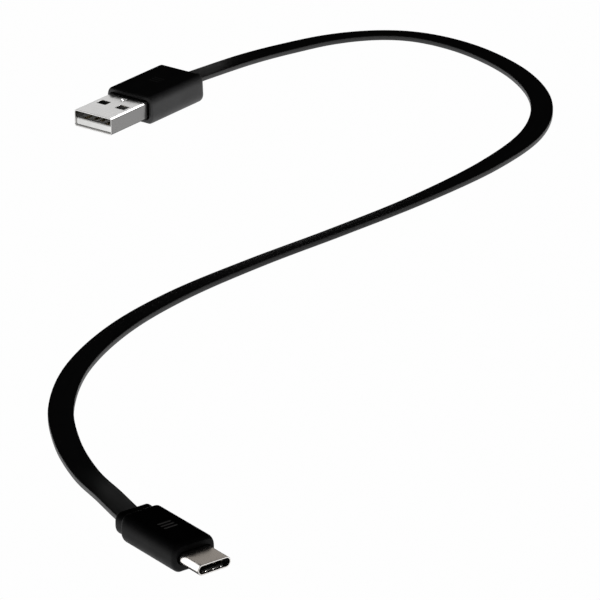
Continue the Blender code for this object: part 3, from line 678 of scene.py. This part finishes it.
def cable_route(count=300):
    points = [(*behind(BROAD_EXIT, BROAD_TURN, back), BROAD_HEIGHT, 0.0) for back in (BROAD_HELD, 1.0, -1.5)]
    points += [(x, y, max(z, table_height(roll)), roll) for x, y, z, roll in ROUTE]
    points += [(*behind(SMALL_EXIT, SMALL_TURN, back), SMALL_HEIGHT, 0.0) for back in (-1.5, 1.0, SMALL_HELD)]
    route = smooth_route(points, count)
    route[:, 2] = [max(z, table_height(roll)) for z, roll in route[:, 2:]]
    drawn_mouth = behind(BROAD_EXIT, BROAD_TURN, BROAD_LENGTH)
    route[:, 0] += BROAD.translation.x / MM - drawn_mouth[0]
    route[:, 1] += BROAD.translation.y / MM - drawn_mouth[1]
    return route


CABLE_ROUTE = cable_route()

# %% [markdown]
# Now the tree makes the cable itself. It steps every 1.2 mm, so the bends look smooth. The corners of its
# section are rounded by a few little facets, which catch a thin line of light as the real ones do.

# %% The flat cable
CABLE_STEP = 1.2
rolled_route = [(x, y, z, math.radians(roll)) for x, y, z, roll in CABLE_ROUTE]
cable = strips_along("flat_cable", [rolled_route], strip_sizes(CORD_W, CORD_T, CORD_EDGE, CABLE_STEP, 4),
                     JACKET_PVC)
settle(cable, TABLE, JACKET_PVC, "cable", ["cable_jacket"], 50.0)

# %% [markdown]
# Lofts make most of the plugs. A section is a rounded rectangle drawn as a ring of points, with extra
# points on its flat runs where detail is wanted; `deep` makes its corners taller than they are wide. Rings
# placed one after another and joined face by face give a skin. Where the last ring joins the first again,
# the skin is a closed wall with a hole through it.

# %% Sections and lofts
def section(width, height, radius, across=(), up=(), steps=8, draft=0.0, deep=1.0):
    """Ring of (y, z); `across` and `up` are extra points on the flats, as shares from -1 to 1."""
    flat_y, flat_z = width / 2 - radius, height / 2 - radius * deep
    flats = (
        [(flat_y * s, height / 2) for s in reversed(across)],
        [(-width / 2, flat_z * s) for s in reversed(up)],
        [(flat_y * s, -height / 2) for s in across],
        [(width / 2, flat_z * s) for s in up],
    )
    ring = []
    for corner, (side, level) in enumerate(((1, 1), (-1, 1), (-1, -1), (1, -1))):
        for k in range(steps + 1):
            angle = math.radians(90.0 * (corner + k / steps))
            up_by = radius * deep * math.sin(angle)
            ring.append((side * flat_y + radius * math.cos(angle), level * flat_z + up_by))
        ring += flats[corner]
    return [(y * (1.0 - draft * 2 * z / height), z) for y, z in ring]


def rings_of(stations, **extra):
    """Rings from pairs of a place along the piece and a size, which is width, height and radius."""
    return [(x, section(*size, **extra)) for x, size in stations]


def larger(size, by):
    return size[0] + 2 * by, size[1] + 2 * by, size[2] + by


def end_rounding(x, axial, radial, width, height, corner, closing, rounds, **extra):
    """Rings that round an end off; `closing` is True where the piece ends at x, False where it starts."""
    rings = []
    for k in range(rounds + 1):
        angle = math.radians(90.0 * k / rounds)
        inset = radial * (1 - math.sin(angle))
        at = axial * (1 - math.cos(angle))
        ring = section(width - 2 * inset, height - 2 * inset, max(corner - inset, 0.2), **extra)
        rings.append((x - at if closing else x + at, ring))
    return list(reversed(rings)) if closing else rings


def lip_rings(front, deep, size, flare, **extra):
    """Rings that lead an opening of this size out to a front, with a lip that flares as it comes."""
    stations = []
    for k in range(1, 6):
        angle = math.radians(18.0 * k)
        stations.append((front + deep - deep * math.sin(angle), larger(size, flare * (1 - math.cos(angle)))))
    return rings_of(stations, **extra)


def loft(name, rings, closed):
    bm = bmesh.new()
    loops = [[bm.verts.new((x, y, z)) for y, z in ring] for x, ring in rings]
    pairs = list(zip(loops, loops[1:])) + ([(loops[-1], loops[0])] if closed else [])
    for first, second in pairs:
        for i in range(len(first)):
            j = (i + 1) % len(first)
            bm.faces.new((first[i], first[j], second[j], second[i]))
    if not closed:
        bm.faces.new(list(reversed(loops[0])))
        bm.faces.new(loops[-1])
    return to_object(name, bm)


def to_object(name, bm):
    bmesh.ops.remove_doubles(bm, verts=bm.verts, dist=0.0005)
    bmesh.ops.recalc_face_normals(bm, faces=bm.faces)
    mesh = bpy.data.meshes.new(name)
    bm.to_mesh(mesh)
    bm.free()
    return link(bpy.data.objects.new(name, mesh))


# %% [markdown]
# Both grips carry the same small mark, three short parallel pill-shaped grooves, so that a thumb can
# find the upper side. The grooves are pressed into a fine patch of the mesh: each point sinks by how
# far inside a pill it lies, which gives soft rims without any cutting. The sunk points also get a value
# that the material reads to paint the bottom of a groove paler, a painted highlight, and smoother.

# %% Press the pill mark into a grip
MARK_L = 3.4
MARK_W = 0.55
MARK_PITCH = 1.15
MARK_DEEP = 0.2
MARK_RIM = 0.16
MARK_FINE = 0.08


def mark_stations(middle):
    reach = MARK_PITCH + MARK_W / 2 + 0.2
    return list(np.arange(middle - reach, middle + reach + MARK_FINE, MARK_FINE))


def mark_columns(flat_y):
    ends = np.arange((MARK_L - MARK_W) / 2 - 0.3, MARK_L / 2 + 0.2, MARK_FINE)
    columns = sorted([0.0, 0.7, -0.7, *ends, *(-ends)])
    return [float(y / flat_y) for y in columns]


def press_mark(obj, middle, top):
    mesh = obj.data
    values = mesh.attributes.new("mark", "FLOAT", "POINT")
    half = (MARK_L - MARK_W) / 2
    for index, vert in enumerate(mesh.vertices):
        x, y, z = vert.co
        if z < top - 0.01:
            continue
        nearest = min(math.hypot(x - middle - k * MARK_PITCH, max(abs(y) - half, 0.0)) for k in (-1, 0, 1))
        inside = min(max((MARK_W / 2 + MARK_RIM / 2 - nearest) / MARK_RIM, 0.0), 1.0)
        share = inside * inside * (3 - 2 * inside)
        vert.co.z -= MARK_DEEP * share
        values.data[index].value = share


# %% [markdown]
# The broad grip is a soft block about 22 mm long. It was drawn by a few radii: small at the front edge,
# larger at the back, and 1.3 mm along its length, and its lower half is a touch wider so that it could
# leave the mould. The steel shell comes out of its front through an opening 0.3 mm larger all round,
# with a rounded lip, and that open line is what looks like a black outline. The skin runs on into the
# hollow inside and out again through the slot for the cable, so it is one closed wall.

# %% The broad plug's grip
BROAD_GRIP_X = (BROAD_SHELL_OUT, BROAD_LENGTH)
BROAD_GRIP = (14.6, 7.4, 1.3)
BROAD_SHELL = (12.0, 4.5, 0.6)
SHADOW_LINE = 0.3
BROAD_LIP = 0.35
SLOT = (CORD_W + 0.3, CORD_T + 0.3, CORD_EDGE + 0.15)


def build_broad_grip():
    front, back = BROAD_GRIP_X
    middle = front + 0.52 * (back - front)
    held = back - BROAD_HELD
    hollow = larger(BROAD_SHELL, SHADOW_LINE)
    inside = {"across": mark_columns(BROAD_GRIP[0] / 2 - BROAD_GRIP[2]), "up": (-0.6, 0.0, 0.6)}
    extra = {**inside, "draft": 0.02, "deep": 1.75}
    body = [front + 3.0, front + 7.0, *mark_stations(middle), back - 5.0]
    rings = rings_of([(held, SLOT), (held, hollow), (front + BROAD_LIP, hollow)], **inside)
    rings += lip_rings(front, BROAD_LIP, hollow, 0.14, **inside)
    rings += end_rounding(front, 0.7, 0.42, *BROAD_GRIP, closing=False, rounds=10, **extra)
    rings += rings_of([(x, BROAD_GRIP) for x in body], **extra)
    rings += end_rounding(back, 1.7, 1.5, *BROAD_GRIP, closing=True, rounds=12, **extra)
    rings += rings_of([(back, larger(SLOT, 0.2)), (back - 0.06, larger(SLOT, 0.06)), (back - 0.2, SLOT)],
                      **inside)
    grip = loft("broad_plug_grip", rings, True)
    press_mark(grip, middle, BROAD_GRIP[1] / 2)
    return grip


settle(build_broad_grip(), BROAD, BROAD_ELASTOMER, "cable", ["usb_a_overmould"])

# %% [markdown]
# The broad shell is a box of folded sheet, 0.3 mm thick. It is one closed wall as well: outside from the
# mouth to the back, then inside to the mouth again, with a narrow flat rim round the mouth. Four square
# windows, two above and two below, were punched before folding. A small round dimple behind them was
# pressed in, so both sides of the sheet sink together. Below, the two edges of the sheet meet in a seam
# that is locked by a dovetail. Windows and seam are cut, and then every cut edge gets a tiny bevel.

# %% Cutting tools
def box_cutter(x, y, z, corner=0.0):
    """A block from pairs of limits, with its upright corners rounded."""
    width, length = y[1] - y[0], x[1] - x[0]
    corners = [(length / 2, width / 2), (-length / 2, width / 2), (-length / 2, -width / 2),
               (length / 2, -width / 2)]
    outline = section(length, width, corner, steps=5) if corner else corners
    middle = (sum(x) / 2, sum(y) / 2)
    return prism([(middle[0] + a, middle[1] + b) for a, b in outline], z)


def prism(outline, z):
    bm = bmesh.new()
    low = [bm.verts.new((x, y, z[0])) for x, y in outline]
    high = [bm.verts.new((x, y, z[1])) for x, y in outline]
    for i in range(len(low)):
        j = (i + 1) % len(low)
        bm.faces.new((low[i], low[j], high[j], high[i]))
    bm.faces.new(list(reversed(low)))
    bm.faces.new(high)
    return bm


def cut(obj, cutters):
    """Take several separate blocks away from a piece in one exact cut."""
    whole = bmesh.new()
    for bm in cutters:
        bmesh.ops.recalc_face_normals(bm, faces=bm.faces)
        part = bpy.data.meshes.new("part")
        bm.to_mesh(part)
        bm.free()
        whole.from_mesh(part)
        bpy.data.meshes.remove(part)
    tool = to_object("tool", whole)
    step = obj.modifiers.new("cut", "BOOLEAN")
    step.operation = "DIFFERENCE"
    step.solver = "EXACT"
    step.object = tool
    made = plain(obj, obj.name)
    bpy.data.objects.remove(tool, do_unlink=True)
    return made


def soften(obj, width):
    """A tiny bevel on every edge sharper than 50 degrees."""
    step = obj.modifiers.new("soften", "BEVEL")
    step.width = width
    step.segments = 2
    step.limit_method = "ANGLE"
    step.angle_limit = math.radians(50.0)
    return plain(obj, obj.name)


# %% The broad plug's shell
SHEET = 0.3
WINDOW_X = (6.95, 9.45)
WINDOW_Y = (1.55, 4.45)
DIMPLE_X = 12.6
DIMPLE_R = 0.9
DIMPLE_DEEP = 0.27
SEAM_HALF = 0.035
SEAM_DEEP = 0.12


def sheet_tube(name, outer, rim, outside, inside, **extra):
    """A closed wall of sheet: round the rim, back along the outside and forward again inside."""
    inner = larger(outer, -SHEET)
    axial, radial, rounds = rim
    rings = end_rounding(0.0, axial, radial, *outer, closing=False, rounds=rounds, **extra)
    stations = [(x, outer) for x in outside] + [(x, inner) for x in inside]
    stations += [(0.04, larger(inner, 0.015)), (0.0, larger(inner, 0.05))]
    return loft(name, rings + rings_of(stations, **extra), True)


def press_dimple(obj):
    for vert in obj.data.vertices:
        x, y, z = vert.co
        away = math.hypot(x - DIMPLE_X, y) / DIMPLE_R
        if z > 1.5 and away < 1.0:
            vert.co.z -= DIMPLE_DEEP * (1 - away * away) ** 2


def seam_cutter():
    """A hair-wide line down the middle of the underside, with one dovetail."""
    line = [(-1.0, 0.0), (6.2, 0.0), (5.6, 0.9), (8.6, 0.9), (8.0, 0.0), (BROAD_SHELL_L + 1.0, 0.0)]
    left, right = [], []
    for k, (x, y) in enumerate(line):
        before = Vector(line[max(k - 1, 0)])
        after = Vector(line[min(k + 1, len(line) - 1)])
        here = Vector((x, y))
        first = (here - before).normalized() if k else (after - here).normalized()
        second = (after - here).normalized() if k < len(line) - 1 else first
        normal = (Vector((-first.y, first.x)) + Vector((-second.y, second.x))).normalized()
        reach = SEAM_HALF / max(normal.dot(Vector((-first.y, first.x))), 0.3)
        left.append(tuple(here + normal * reach))
        right.append(tuple(here - normal * reach))
    low = -BROAD_SHELL[1] / 2
    return prism(left + list(reversed(right)), (low - 0.5, low + SEAM_DEEP))


def build_broad_shell():
    flat = BROAD_SHELL[0] / 2 - BROAD_SHELL[2]
    fine = np.arange(-DIMPLE_R, DIMPLE_R + 0.05, 0.1)
    fine_x = np.arange(DIMPLE_X - DIMPLE_R, DIMPLE_X + DIMPLE_R + 0.05, 0.1)
    stations = [0.25, 3.0, 6.0, 9.8, *fine_x, 16.0, BROAD_SHELL_L]
    shell = sheet_tube("broad_plug_shell", BROAD_SHELL, (0.1, 0.07, 5), stations, [*stations[:0:-1], 0.22],
                       across=[v / flat for v in (-3.0, -1.5, *fine, 1.5, 3.0)], up=(0.0,), steps=6)
    press_dimple(shell)
    windows = [box_cutter(WINDOW_X, (side * WINDOW_Y[0], side * WINDOW_Y[1])[::side], (-4.0, 4.0), 0.2)
               for side in (1, -1)]
    return soften(cut(shell, [*windows, seam_cutter()]), 0.035)


settle(build_broad_shell(), BROAD, NICKEL, "cable", ["usb_a_shell"], 35.0)

# %% [markdown]
# In the mouth a pale tongue fills the lower half and carries four flat contacts in shallow grooves. Its
# nose is chamfered so that it finds its way into a socket. A thicker block behind it fills the whole
# shell. From 10 mm behind the mouth the tongue and block are painted black: painted shade, which darkens the
# windows.

# %% The broad plug's tongue
TONGUE_X = (0.5, 10.2, BROAD_SHELL_L - 0.3)
TONGUE_Z = (-1.9, -0.06, 1.9)
TONGUE_HALF_W = 5.6
PINS = (("ground", 3.5, 1.0), ("data_plus", 1.0, 2.0), ("data_minus", -1.0, 2.0), ("vbus", -3.5, 1.0))
PIN_W = 1.0
PIN_T = 0.25
PIN_Z = -0.21


def build_tongue():
    nose, step, back = TONGUE_X
    low, top, high = TONGUE_Z
    outline = [(nose, low + 0.3), (nose, top - 0.2), (nose + 0.2, top), (step, top), (step, high),
               (back, high), (back, low), (nose + 0.3, low)]
    bm = prism(outline, (-TONGUE_HALF_W, TONGUE_HALF_W))
    bmesh.ops.rotate(bm, verts=bm.verts, matrix=Matrix.Rotation(math.pi / 2, 3, "X"))
    half = PIN_W / 2 + 0.05
    grooves = [box_cutter((front - 0.05, back + 1.0), (y - half, y + half), (PIN_Z - 0.05, PIN_Z + 0.4))
               for name, y, front in PINS]
    return soften(cut(to_object("broad_plug_tongue", bm), grooves), 0.06)


settle(build_tongue(), BROAD, PALE_PBT, "cable", ["usb_a_insulator"])

# %% [markdown]
# The four contacts of the broad plug are flat blades of two lengths: the outer pair, power and ground,
# starts nearer the mouth, so it meets the socket first. The routes differ, so the strip tree takes all
# four at once. Each blade dips at its nose to slide in under the socket's springs.

# %% The broad plug's contacts
def blade_route(y, front):
    middle = PIN_Z + PIN_T / 2
    nose = [(front + 0.02, y, middle - 0.04), (front + 0.12, y, middle - 0.01)]
    return [(*point, 0.0) for point in (*nose, (front + 0.3, y, middle), (BROAD_SHELL_L + 2.0, y, middle))]


blades = strips_along("broad_plug_contacts", [blade_route(y, front) for name, y, front in PINS],
                      strip_sizes(PIN_W, PIN_T - 0.01, 0.05, 0.25, 2), BROAD_GOLD)
settle(blades, BROAD, BROAD_GOLD, "cable", [f"usb_a_contact_{pin[0]}" for pin in PINS])

# %% [markdown]
# The small grip is rounder than the broad one: 1.9 mm radii along it and a front that turns in over more
# than a millimetre. Behind it a lower, narrower collar about 3 mm long takes the cable in. It is one
# loft again, with a small fillet at the foot of the step, so that the step reads as a soft line.

# %% The small plug's grip
SMALL_GRIP_X = (SMALL_SHELL_OUT, 25.45)
COLLAR_BACK = 28.45
SMALL_GRIP = (10.6, 6.4, 1.9)
COLLAR = (9.2, 4.8, 1.42)
NECK = (8.55, 2.7, 1.349)
SMALL_LIP = 0.3


def build_small_grip():
    front, back = SMALL_GRIP_X
    middle = front + 0.5 * (back - front)
    held = COLLAR_BACK - SMALL_HELD
    throat = SMALL_SHELL_L + 0.5
    hollow = (8.4, 4.0, 0.2)
    inside = {"across": mark_columns(SMALL_GRIP[0] / 2 - SMALL_GRIP[2]), "up": (-0.5, 0.5)}
    extra = {**inside, "deep": 1.45}
    body = [front + 3.0, *mark_stations(middle), back - 3.0]
    rings = rings_of([(held, SLOT), (held, hollow), (throat, hollow), (throat, NECK),
                      (front + SMALL_LIP, NECK)], **inside)
    rings += lip_rings(front, SMALL_LIP, NECK, 0.2, **inside)
    rings += end_rounding(front, 1.2, 0.8, *SMALL_GRIP, closing=False, rounds=12, **extra)
    rings += rings_of([(x, SMALL_GRIP) for x in body], **extra)
    rings += end_rounding(back, 1.0, 0.6, *SMALL_GRIP, closing=True, rounds=10, **extra)
    rings += rings_of([(back + 0.08, larger(COLLAR, 0.02)), (back + 0.2, COLLAR)], **extra)
    rings += end_rounding(COLLAR_BACK, 0.8, 0.55, *COLLAR, closing=True, rounds=8, **extra)
    rings += rings_of([(COLLAR_BACK, larger(SLOT, 0.18)), (COLLAR_BACK - 0.06, larger(SLOT, 0.05)),
                       (COLLAR_BACK - 0.2, SLOT)], **inside)
    grip = loft("small_plug_grip", rings, True)
    press_mark(grip, middle, SMALL_GRIP[1] / 2)
    return grip


settle(build_small_grip(), SMALL, SMALL_ELASTOMER, "cable", ["usb_c_overmould"])

# %% [markdown]
# The small shell is a flattened tube with fully rounded sides, drawn from one sheet, so it has no seam.
# Its rim is dressed flat, which is why the mouth shows as a thin bright line round a black slot.

# %% The small plug's shell
SMALL_SHELL = (8.25, 2.4, 1.199)


def build_small_shell():
    return sheet_tube("small_plug_shell", SMALL_SHELL, (0.09, 0.06, 6), (1.5, 4.0, 6.5, SMALL_SHELL_L),
                      (SMALL_SHELL_L, 5.0, 1.0, 0.2), across=(-0.8, -0.4, 0.0, 0.4, 0.8), steps=12)


settle(build_small_shell(), SMALL, STAINLESS, "cable", ["usb_c_shell"], 35.0)

# %% [markdown]
# Inside the small shell sits a black insulator with a slot down its middle for the socket's tongue. The
# slot has a chamfered entry, and each contact lies in its own groove, open to the slot.

# %% The small plug's insulator
UPPER_PINS = (1, 4, 5, 6, 7, 9, 12)
LOWER_PINS = (1, 4, 9, 12)
ROWS = (("upper", "a", UPPER_PINS, 1), ("lower", "b", LOWER_PINS, -1))
SPRING_W = 0.25
SPRING_T = 0.1
LATCH_Y = 3.35


def pin_y(number, sign):
    """Twelve places in a row; the lower row is counted from the other side."""
    return sign * PAD_PITCH * (number - 6.5)


def build_small_insulator():
    outer = (7.55, 1.7, 0.849)
    slot = (6.7, 0.9, 0.12)
    front, back, deep = 1.0, 7.5, 6.2
    rings = rings_of([(deep, slot), (front + 0.15, slot), (front, larger(slot, 0.12)),
                      (front, larger(outer, -0.06)), (front + 0.06, outer), (back, outer)],
                     across=(-0.5, 0.0, 0.5), steps=5)
    block = loft("small_plug_insulator", rings, False)
    grooves = []
    reach = SPRING_W / 2 + 0.06
    for row, letter, numbers, sign in ROWS:
        for number in numbers:
            y = pin_y(number, sign)
            z = sorted((sign * 0.25, sign * 2.0))
            grooves.append(box_cutter((front + 0.3, back + 1.0), (y - reach, y + reach), z))
    for side in (1, -1):
        y = sorted((side * (LATCH_Y - 0.36), side * 8.0))
        grooves.append(box_cutter((front + 0.25, back + 1.0), y, (-0.41, 0.41)))
    return cut(block, grooves)


settle(build_small_insulator(), SMALL, BLACK_LCP, "cable", ["usb_c_insulator"])

# %% [markdown]
# Seven contacts above the slot and four below are bent springs, all alike, so here the row tree does the
# work: the pins are points, and one bent route is the pattern. Each row bends away together when a tongue
# goes in, so each row is one mesh that follows its own body.

# %% The small plug's contacts
SPRING_REST = 0.3 + 0.05 + SPRING_T / 2
SPRING_ROUTE = ((1.5, 0.5), (1.7, 0.41), (1.9, 0.36), (2.1, 0.335), (2.3, 0.33), (2.8, 0.38), (5.0, 0.55),
                (7.4, 0.55), (8.2, SPRING_REST), (10.6, SPRING_REST))


def row_of_strips(name, places, route, sizes, material):
    pattern = route_object("pattern", [route])
    mesh = bpy.data.meshes.new("places")
    mesh.from_pydata(places, [], [])
    points = link(bpy.data.objects.new("places", mesh))
    made = grown(points, ROW_TREE, {**sizes, "Route": pattern, "Material": material}, name)
    bpy.data.objects.remove(pattern, do_unlink=True)
    return made


for row, letter, numbers, sign in ROWS:
    places = [(0.0, pin_y(number, sign), 0.0) for number in numbers]
    route = [(x, 0.0, sign * z, 0.0) for x, z in SPRING_ROUTE]
    sizes = strip_sizes(SPRING_W, SPRING_T, 0.02, 0.12, 2)
    springs = row_of_strips(f"small_plug_{row}_contacts", places, route, sizes, SMALL_GOLD)
    nodes = [f"usb_c_contact_{letter}{number}" for number in numbers]
    settle(springs, SMALL, SMALL_GOLD, f"{row}_contacts", nodes)

# %% [markdown]
# A latch on each side clicks into the socket. It is a strip on edge, with a hook near its tip that leans
# inwards. The strip tree makes it from a route in plan, rolled by a quarter turn so that it stands up.

# %% The two latches
LATCH_T = 0.15
LATCH_H = 0.7
LATCH_ROUTE = ((1.5, 3.44), (1.62, 3.36), (1.78, 3.19), (1.9, 3.13), (2.02, 3.19), (2.2, 3.36), (2.35, 3.425),
               (8.6, 3.425))
for name, side in (("left", 1), ("right", -1)):
    route = [(x, side * y, 0.0, math.pi / 2) for x, y in LATCH_ROUTE]
    latch = strips_along(f"small_plug_{name}_latch", [route], strip_sizes(LATCH_H, LATCH_T, 0.03, 0.1, 2),
                         SPRING_STEEL)
    settle(latch, SMALL, SPRING_STEEL, f"latch_{name}", [f"usb_c_latch_{name}"])

# %% [markdown]
# Just inside the mouth, above and below, three little spring fingers touch the socket's shield. They show
# as three bright dots in the black slot. Each finger curls towards the middle and back again, so its
# crown is what catches the light. A cross bar joins the three.

# %% The shield springs
FINGER_PLACES = (-1.9, 0.0, 1.9)
FINGER_ROUTE = ((0.94, 0.82), (0.8, 0.8), (0.66, 0.7), (0.52, 0.6), (0.4, 0.57), (0.3, 0.62), (0.22, 0.72))
for row, letter, numbers, sign in ROWS:
    places = [(0.0, y, 0.0) for y in FINGER_PLACES]
    route = [(x, 0.0, sign * z, 0.0) for x, z in FINGER_ROUTE]
    sizes = strip_sizes(0.55, 0.07, 0.03, 0.04, 3)
    fingers = row_of_strips(f"small_plug_{row}_shield_spring", places, route, sizes, SPRING_STEEL)
    bar = box_cutter((0.78, 0.95), (-2.6, 2.6), sorted((sign * 0.78, sign * 0.85)), 0.05)
    bmesh.ops.recalc_face_normals(bar, faces=bar.faces)
    bar.from_mesh(fingers.data)
    bar.to_mesh(fingers.data)
    bar.free()
    settle(fingers, SMALL, SPRING_STEEL, "cable", [f"usb_c_shield_spring_{row}"])

# %% [markdown]
# What is deep inside the grips keeps the frame's own solids, whose shapes are right already, and only
# gets its real finish: the milky plastic round the solder joints, the card with its chip, and the wires.

# %% Finishes for the hidden pieces
def paint(node, material):
    obj = frame["nodes"][node]
    obj.data.materials.clear()
    obj.data.materials.append(material)


for letter, place in (("a", BROAD), ("c", SMALL)):
    paint(f"usb_{letter}_inner_mould", MILKY[letter])
    for colour, (first, second) in WIRE_COLOURS.items():
        skin = moulded_plastic(f"{colour} PVC wire skin {letter}", place, first, second, 0.35,
                               (3, 0.4, 0.4), 0.3)
        paint(f"usb_{letter}_wire_{colour}", skin)
paint("usb_c_paddle_card", BOARD)
paint("usb_c_resistor", CHIP)
print("painted", 2 * (1 + len(WIRE_COLOURS)) + 2, "hidden solids")

# %% [markdown]
# The cable is all in view, from the broad plug to the small one, so its length is the length of its route.
# The far end goes into the small plug.

# %% [markdown]
# The floor is a plain white sheet that goes on past the edges of the view. It glows evenly, as a sheet
# of light table does, so the object stands on clean white without a shadow. It lies a twentieth of a
# millimetre low, so that it never shares a plane with the undersides of the plugs.

# %% The floor
FLOOR_HALF = 6.0
FLOOR_BELOW = 0.05 * MM
FLOOR_GLOW = 0.99
sheet = bpy.data.meshes.new("floor")
sheet.from_pydata([(x * FLOOR_HALF, y * FLOOR_HALF, -FLOOR_BELOW)
                   for x, y in ((-1, -1), (1, -1), (1, 1), (-1, 1))], [], [(0, 1, 2, 3)])
floor = link(bpy.data.objects.new("floor", sheet))
floor_paper = bpy.data.materials.new("white light-table sheet")
floor_paper.use_nodes = True
glow = floor_paper.node_tree.nodes["Principled BSDF"]
glow.inputs["Base Color"].default_value = (0.0, 0.0, 0.0, 1.0)
glow.inputs["Specular IOR Level"].default_value = 0.0
glow.inputs["Emission Color"].default_value = (1.0, 1.0, 1.0, 1.0)
glow.inputs["Emission Strength"].default_value = FLOOR_GLOW
sheet.materials.append(floor_paper)
for reach in ("diffuse", "glossy", "transmission", "volume_scatter", "shadow"):
    setattr(floor, f"visible_{reach}", False)
print("floor", 2 * FLOOR_HALF, "m wide")

# %% [markdown]
# A product studio lights metal and black plastic apart: metal needs large pale cards to reflect, and
# black plastic turns grey as soon as one of those cards shows in it. Blender can do the same with light
# linking: each soft box says which pieces it lights. The brightness given is what a mirror would show.
# The card behind the small plug is tinted a little, and that gives its steel a warm cast.

# %% Soft boxes
PLASTICS = bpy.data.collections.new("lit as plastics")
BROAD_METALS = bpy.data.collections.new("lit as the broad shell")
BROAD_INSIDE = bpy.data.collections.new("lit as the broad mouth")
SMALL_METALS = bpy.data.collections.new("lit as small plug metals")
FINGERS = bpy.data.collections.new("lit as spring fingers")
JACKET = bpy.data.collections.new("lit as the jacket alone")
JACKET.objects.link(cable)
LIT_AS = {JACKET_PVC: PLASTICS, BROAD_ELASTOMER: PLASTICS, SMALL_ELASTOMER: PLASTICS, BLACK_LCP: PLASTICS,
          NICKEL: BROAD_METALS, PALE_PBT: BROAD_INSIDE, BROAD_GOLD: BROAD_INSIDE}
for obj in MADE:
    LIT_AS.get(obj.data.materials[0], SMALL_METALS).objects.link(obj)
    if obj.name.endswith("shield_spring"):
        FINGERS.objects.link(obj)


def soft_box(name, lit, place, towards, away, size, brightness, tint=(1.0, 1.0, 1.0)):
    """A rectangle of light: `towards` is the direction from the lit place to the box, `away` in metres."""
    data = bpy.data.lights.new(name, "AREA")
    data.shape = "RECTANGLE"
    data.size, data.size_y = size
    data.energy = brightness * math.pi * size[0] * size[1]
    data.color = tint
    box = link(bpy.data.objects.new(name, data))
    direction = Vector(towards).normalized()
    box.location = Vector(place) + direction * away
    box.rotation_euler = direction.to_track_quat("Z", "Y").to_euler()
    box.visible_camera = False
    box.light_linking.receiver_collection = lit


world = bpy.data.worlds.new("dark studio")
world.use_nodes = True
world.node_tree.nodes["Background"].inputs["Color"].default_value = (1.0, 1.0, 1.0, 1.0)
world.node_tree.nodes["Background"].inputs["Strength"].default_value = 0.002
scene.world = world
broad_at = BROAD @ Vector((7.0, 0.0, 0.0))
small_at = SMALL @ Vector((3.0, 0.0, 0.0))
on_table = (0.0, 0.0, 0.0)
WARM = (1.0, 0.93, 0.86)
SOFT_BOXES = (
    ("table glow on plastics", PLASTICS, on_table, (0, 0, -1), 0.3, (5.0, 5.0), 1.0),
    ("ceiling on plastics", PLASTICS, on_table, (0, 0, 1), 1.2, (0.8, 0.8), 0.2),
    ("back card, broad", BROAD_METALS, broad_at, (0.0, 0.92, 0.39), 0.8, (1.2, 0.7), 0.85),
    ("right card, broad", BROAD_METALS, broad_at, (0.88, 0.28, -0.39), 0.8, (0.8, 0.8), 0.38),
    ("edge card, broad", BROAD_METALS, broad_at, (0.754, 0.3665, 0.545), 0.8, (0.3, 0.3), 4.0),
    ("dimple card, broad", BROAD_METALS, broad_at, (0.27, 0.62, 0.73), 0.8, (0.26, 0.26), 7.0),
    ("front card, broad", BROAD_METALS, broad_at, (-0.88, -0.28, -0.39), 0.8, (0.8, 0.8), 1.4),
    ("key on tongue", BROAD_INSIDE, broad_at, (-0.59, -0.8, -0.3), 0.8, (0.6, 0.6), 5.2),
    ("lines on contacts", BROAD_INSIDE, broad_at, (-0.45, -0.75, 0.3), 0.8, (0.2, 0.2), 5.0),
    ("back card, small", SMALL_METALS, small_at, (0.0, 0.92, 0.39), 0.8, (1.2, 0.7), 0.46, WARM),
    ("left card, small", SMALL_METALS, small_at, (-0.85, 0.4, 0.1), 0.6, (0.6, 1.0), 2.5),
    ("front card, small", SMALL_METALS, small_at, (0.89, -0.24, -0.39), 0.8, (0.8, 0.8), 1.6),
    ("spark on fingers", FINGERS, small_at, (0.45, -0.35, 0.8), 0.8, (0.4, 0.4), 8.0),
    ("ceiling, broad", BROAD_METALS, broad_at, (0.0, 0.0, 1.0), 1.0, (0.8, 0.8), 0.7),
    ("ceiling, small", SMALL_METALS, small_at, (0.0, 0.0, 1.0), 1.0, (0.8, 0.8), 0.7),
)
for box in SOFT_BOXES:
    soft_box(*box)
for name, step, brightness in (("broad", 6, 0.4), ("small", -6, 0.25)):
    soft_box(f"sheen on the jacket, {name} end", JACKET, CABLE_ROUTE[step, :3] * MM, (0.0, 0.97, 0.25),
             0.025, (0.014, 0.006), brightness)
for metals, place in ((BROAD_METALS, broad_at), (SMALL_METALS, small_at)):
    for turn in (-90, -45, 0, 45, 90):
        towards = (math.sin(math.radians(turn)), -math.cos(math.radians(turn)), 0.42)
        soft_box(f"fill at {turn} degrees, {metals.name}", metals, place, towards, 1.0, (0.8, 0.5), 0.35)
print(len(bpy.data.lights), "soft boxes")
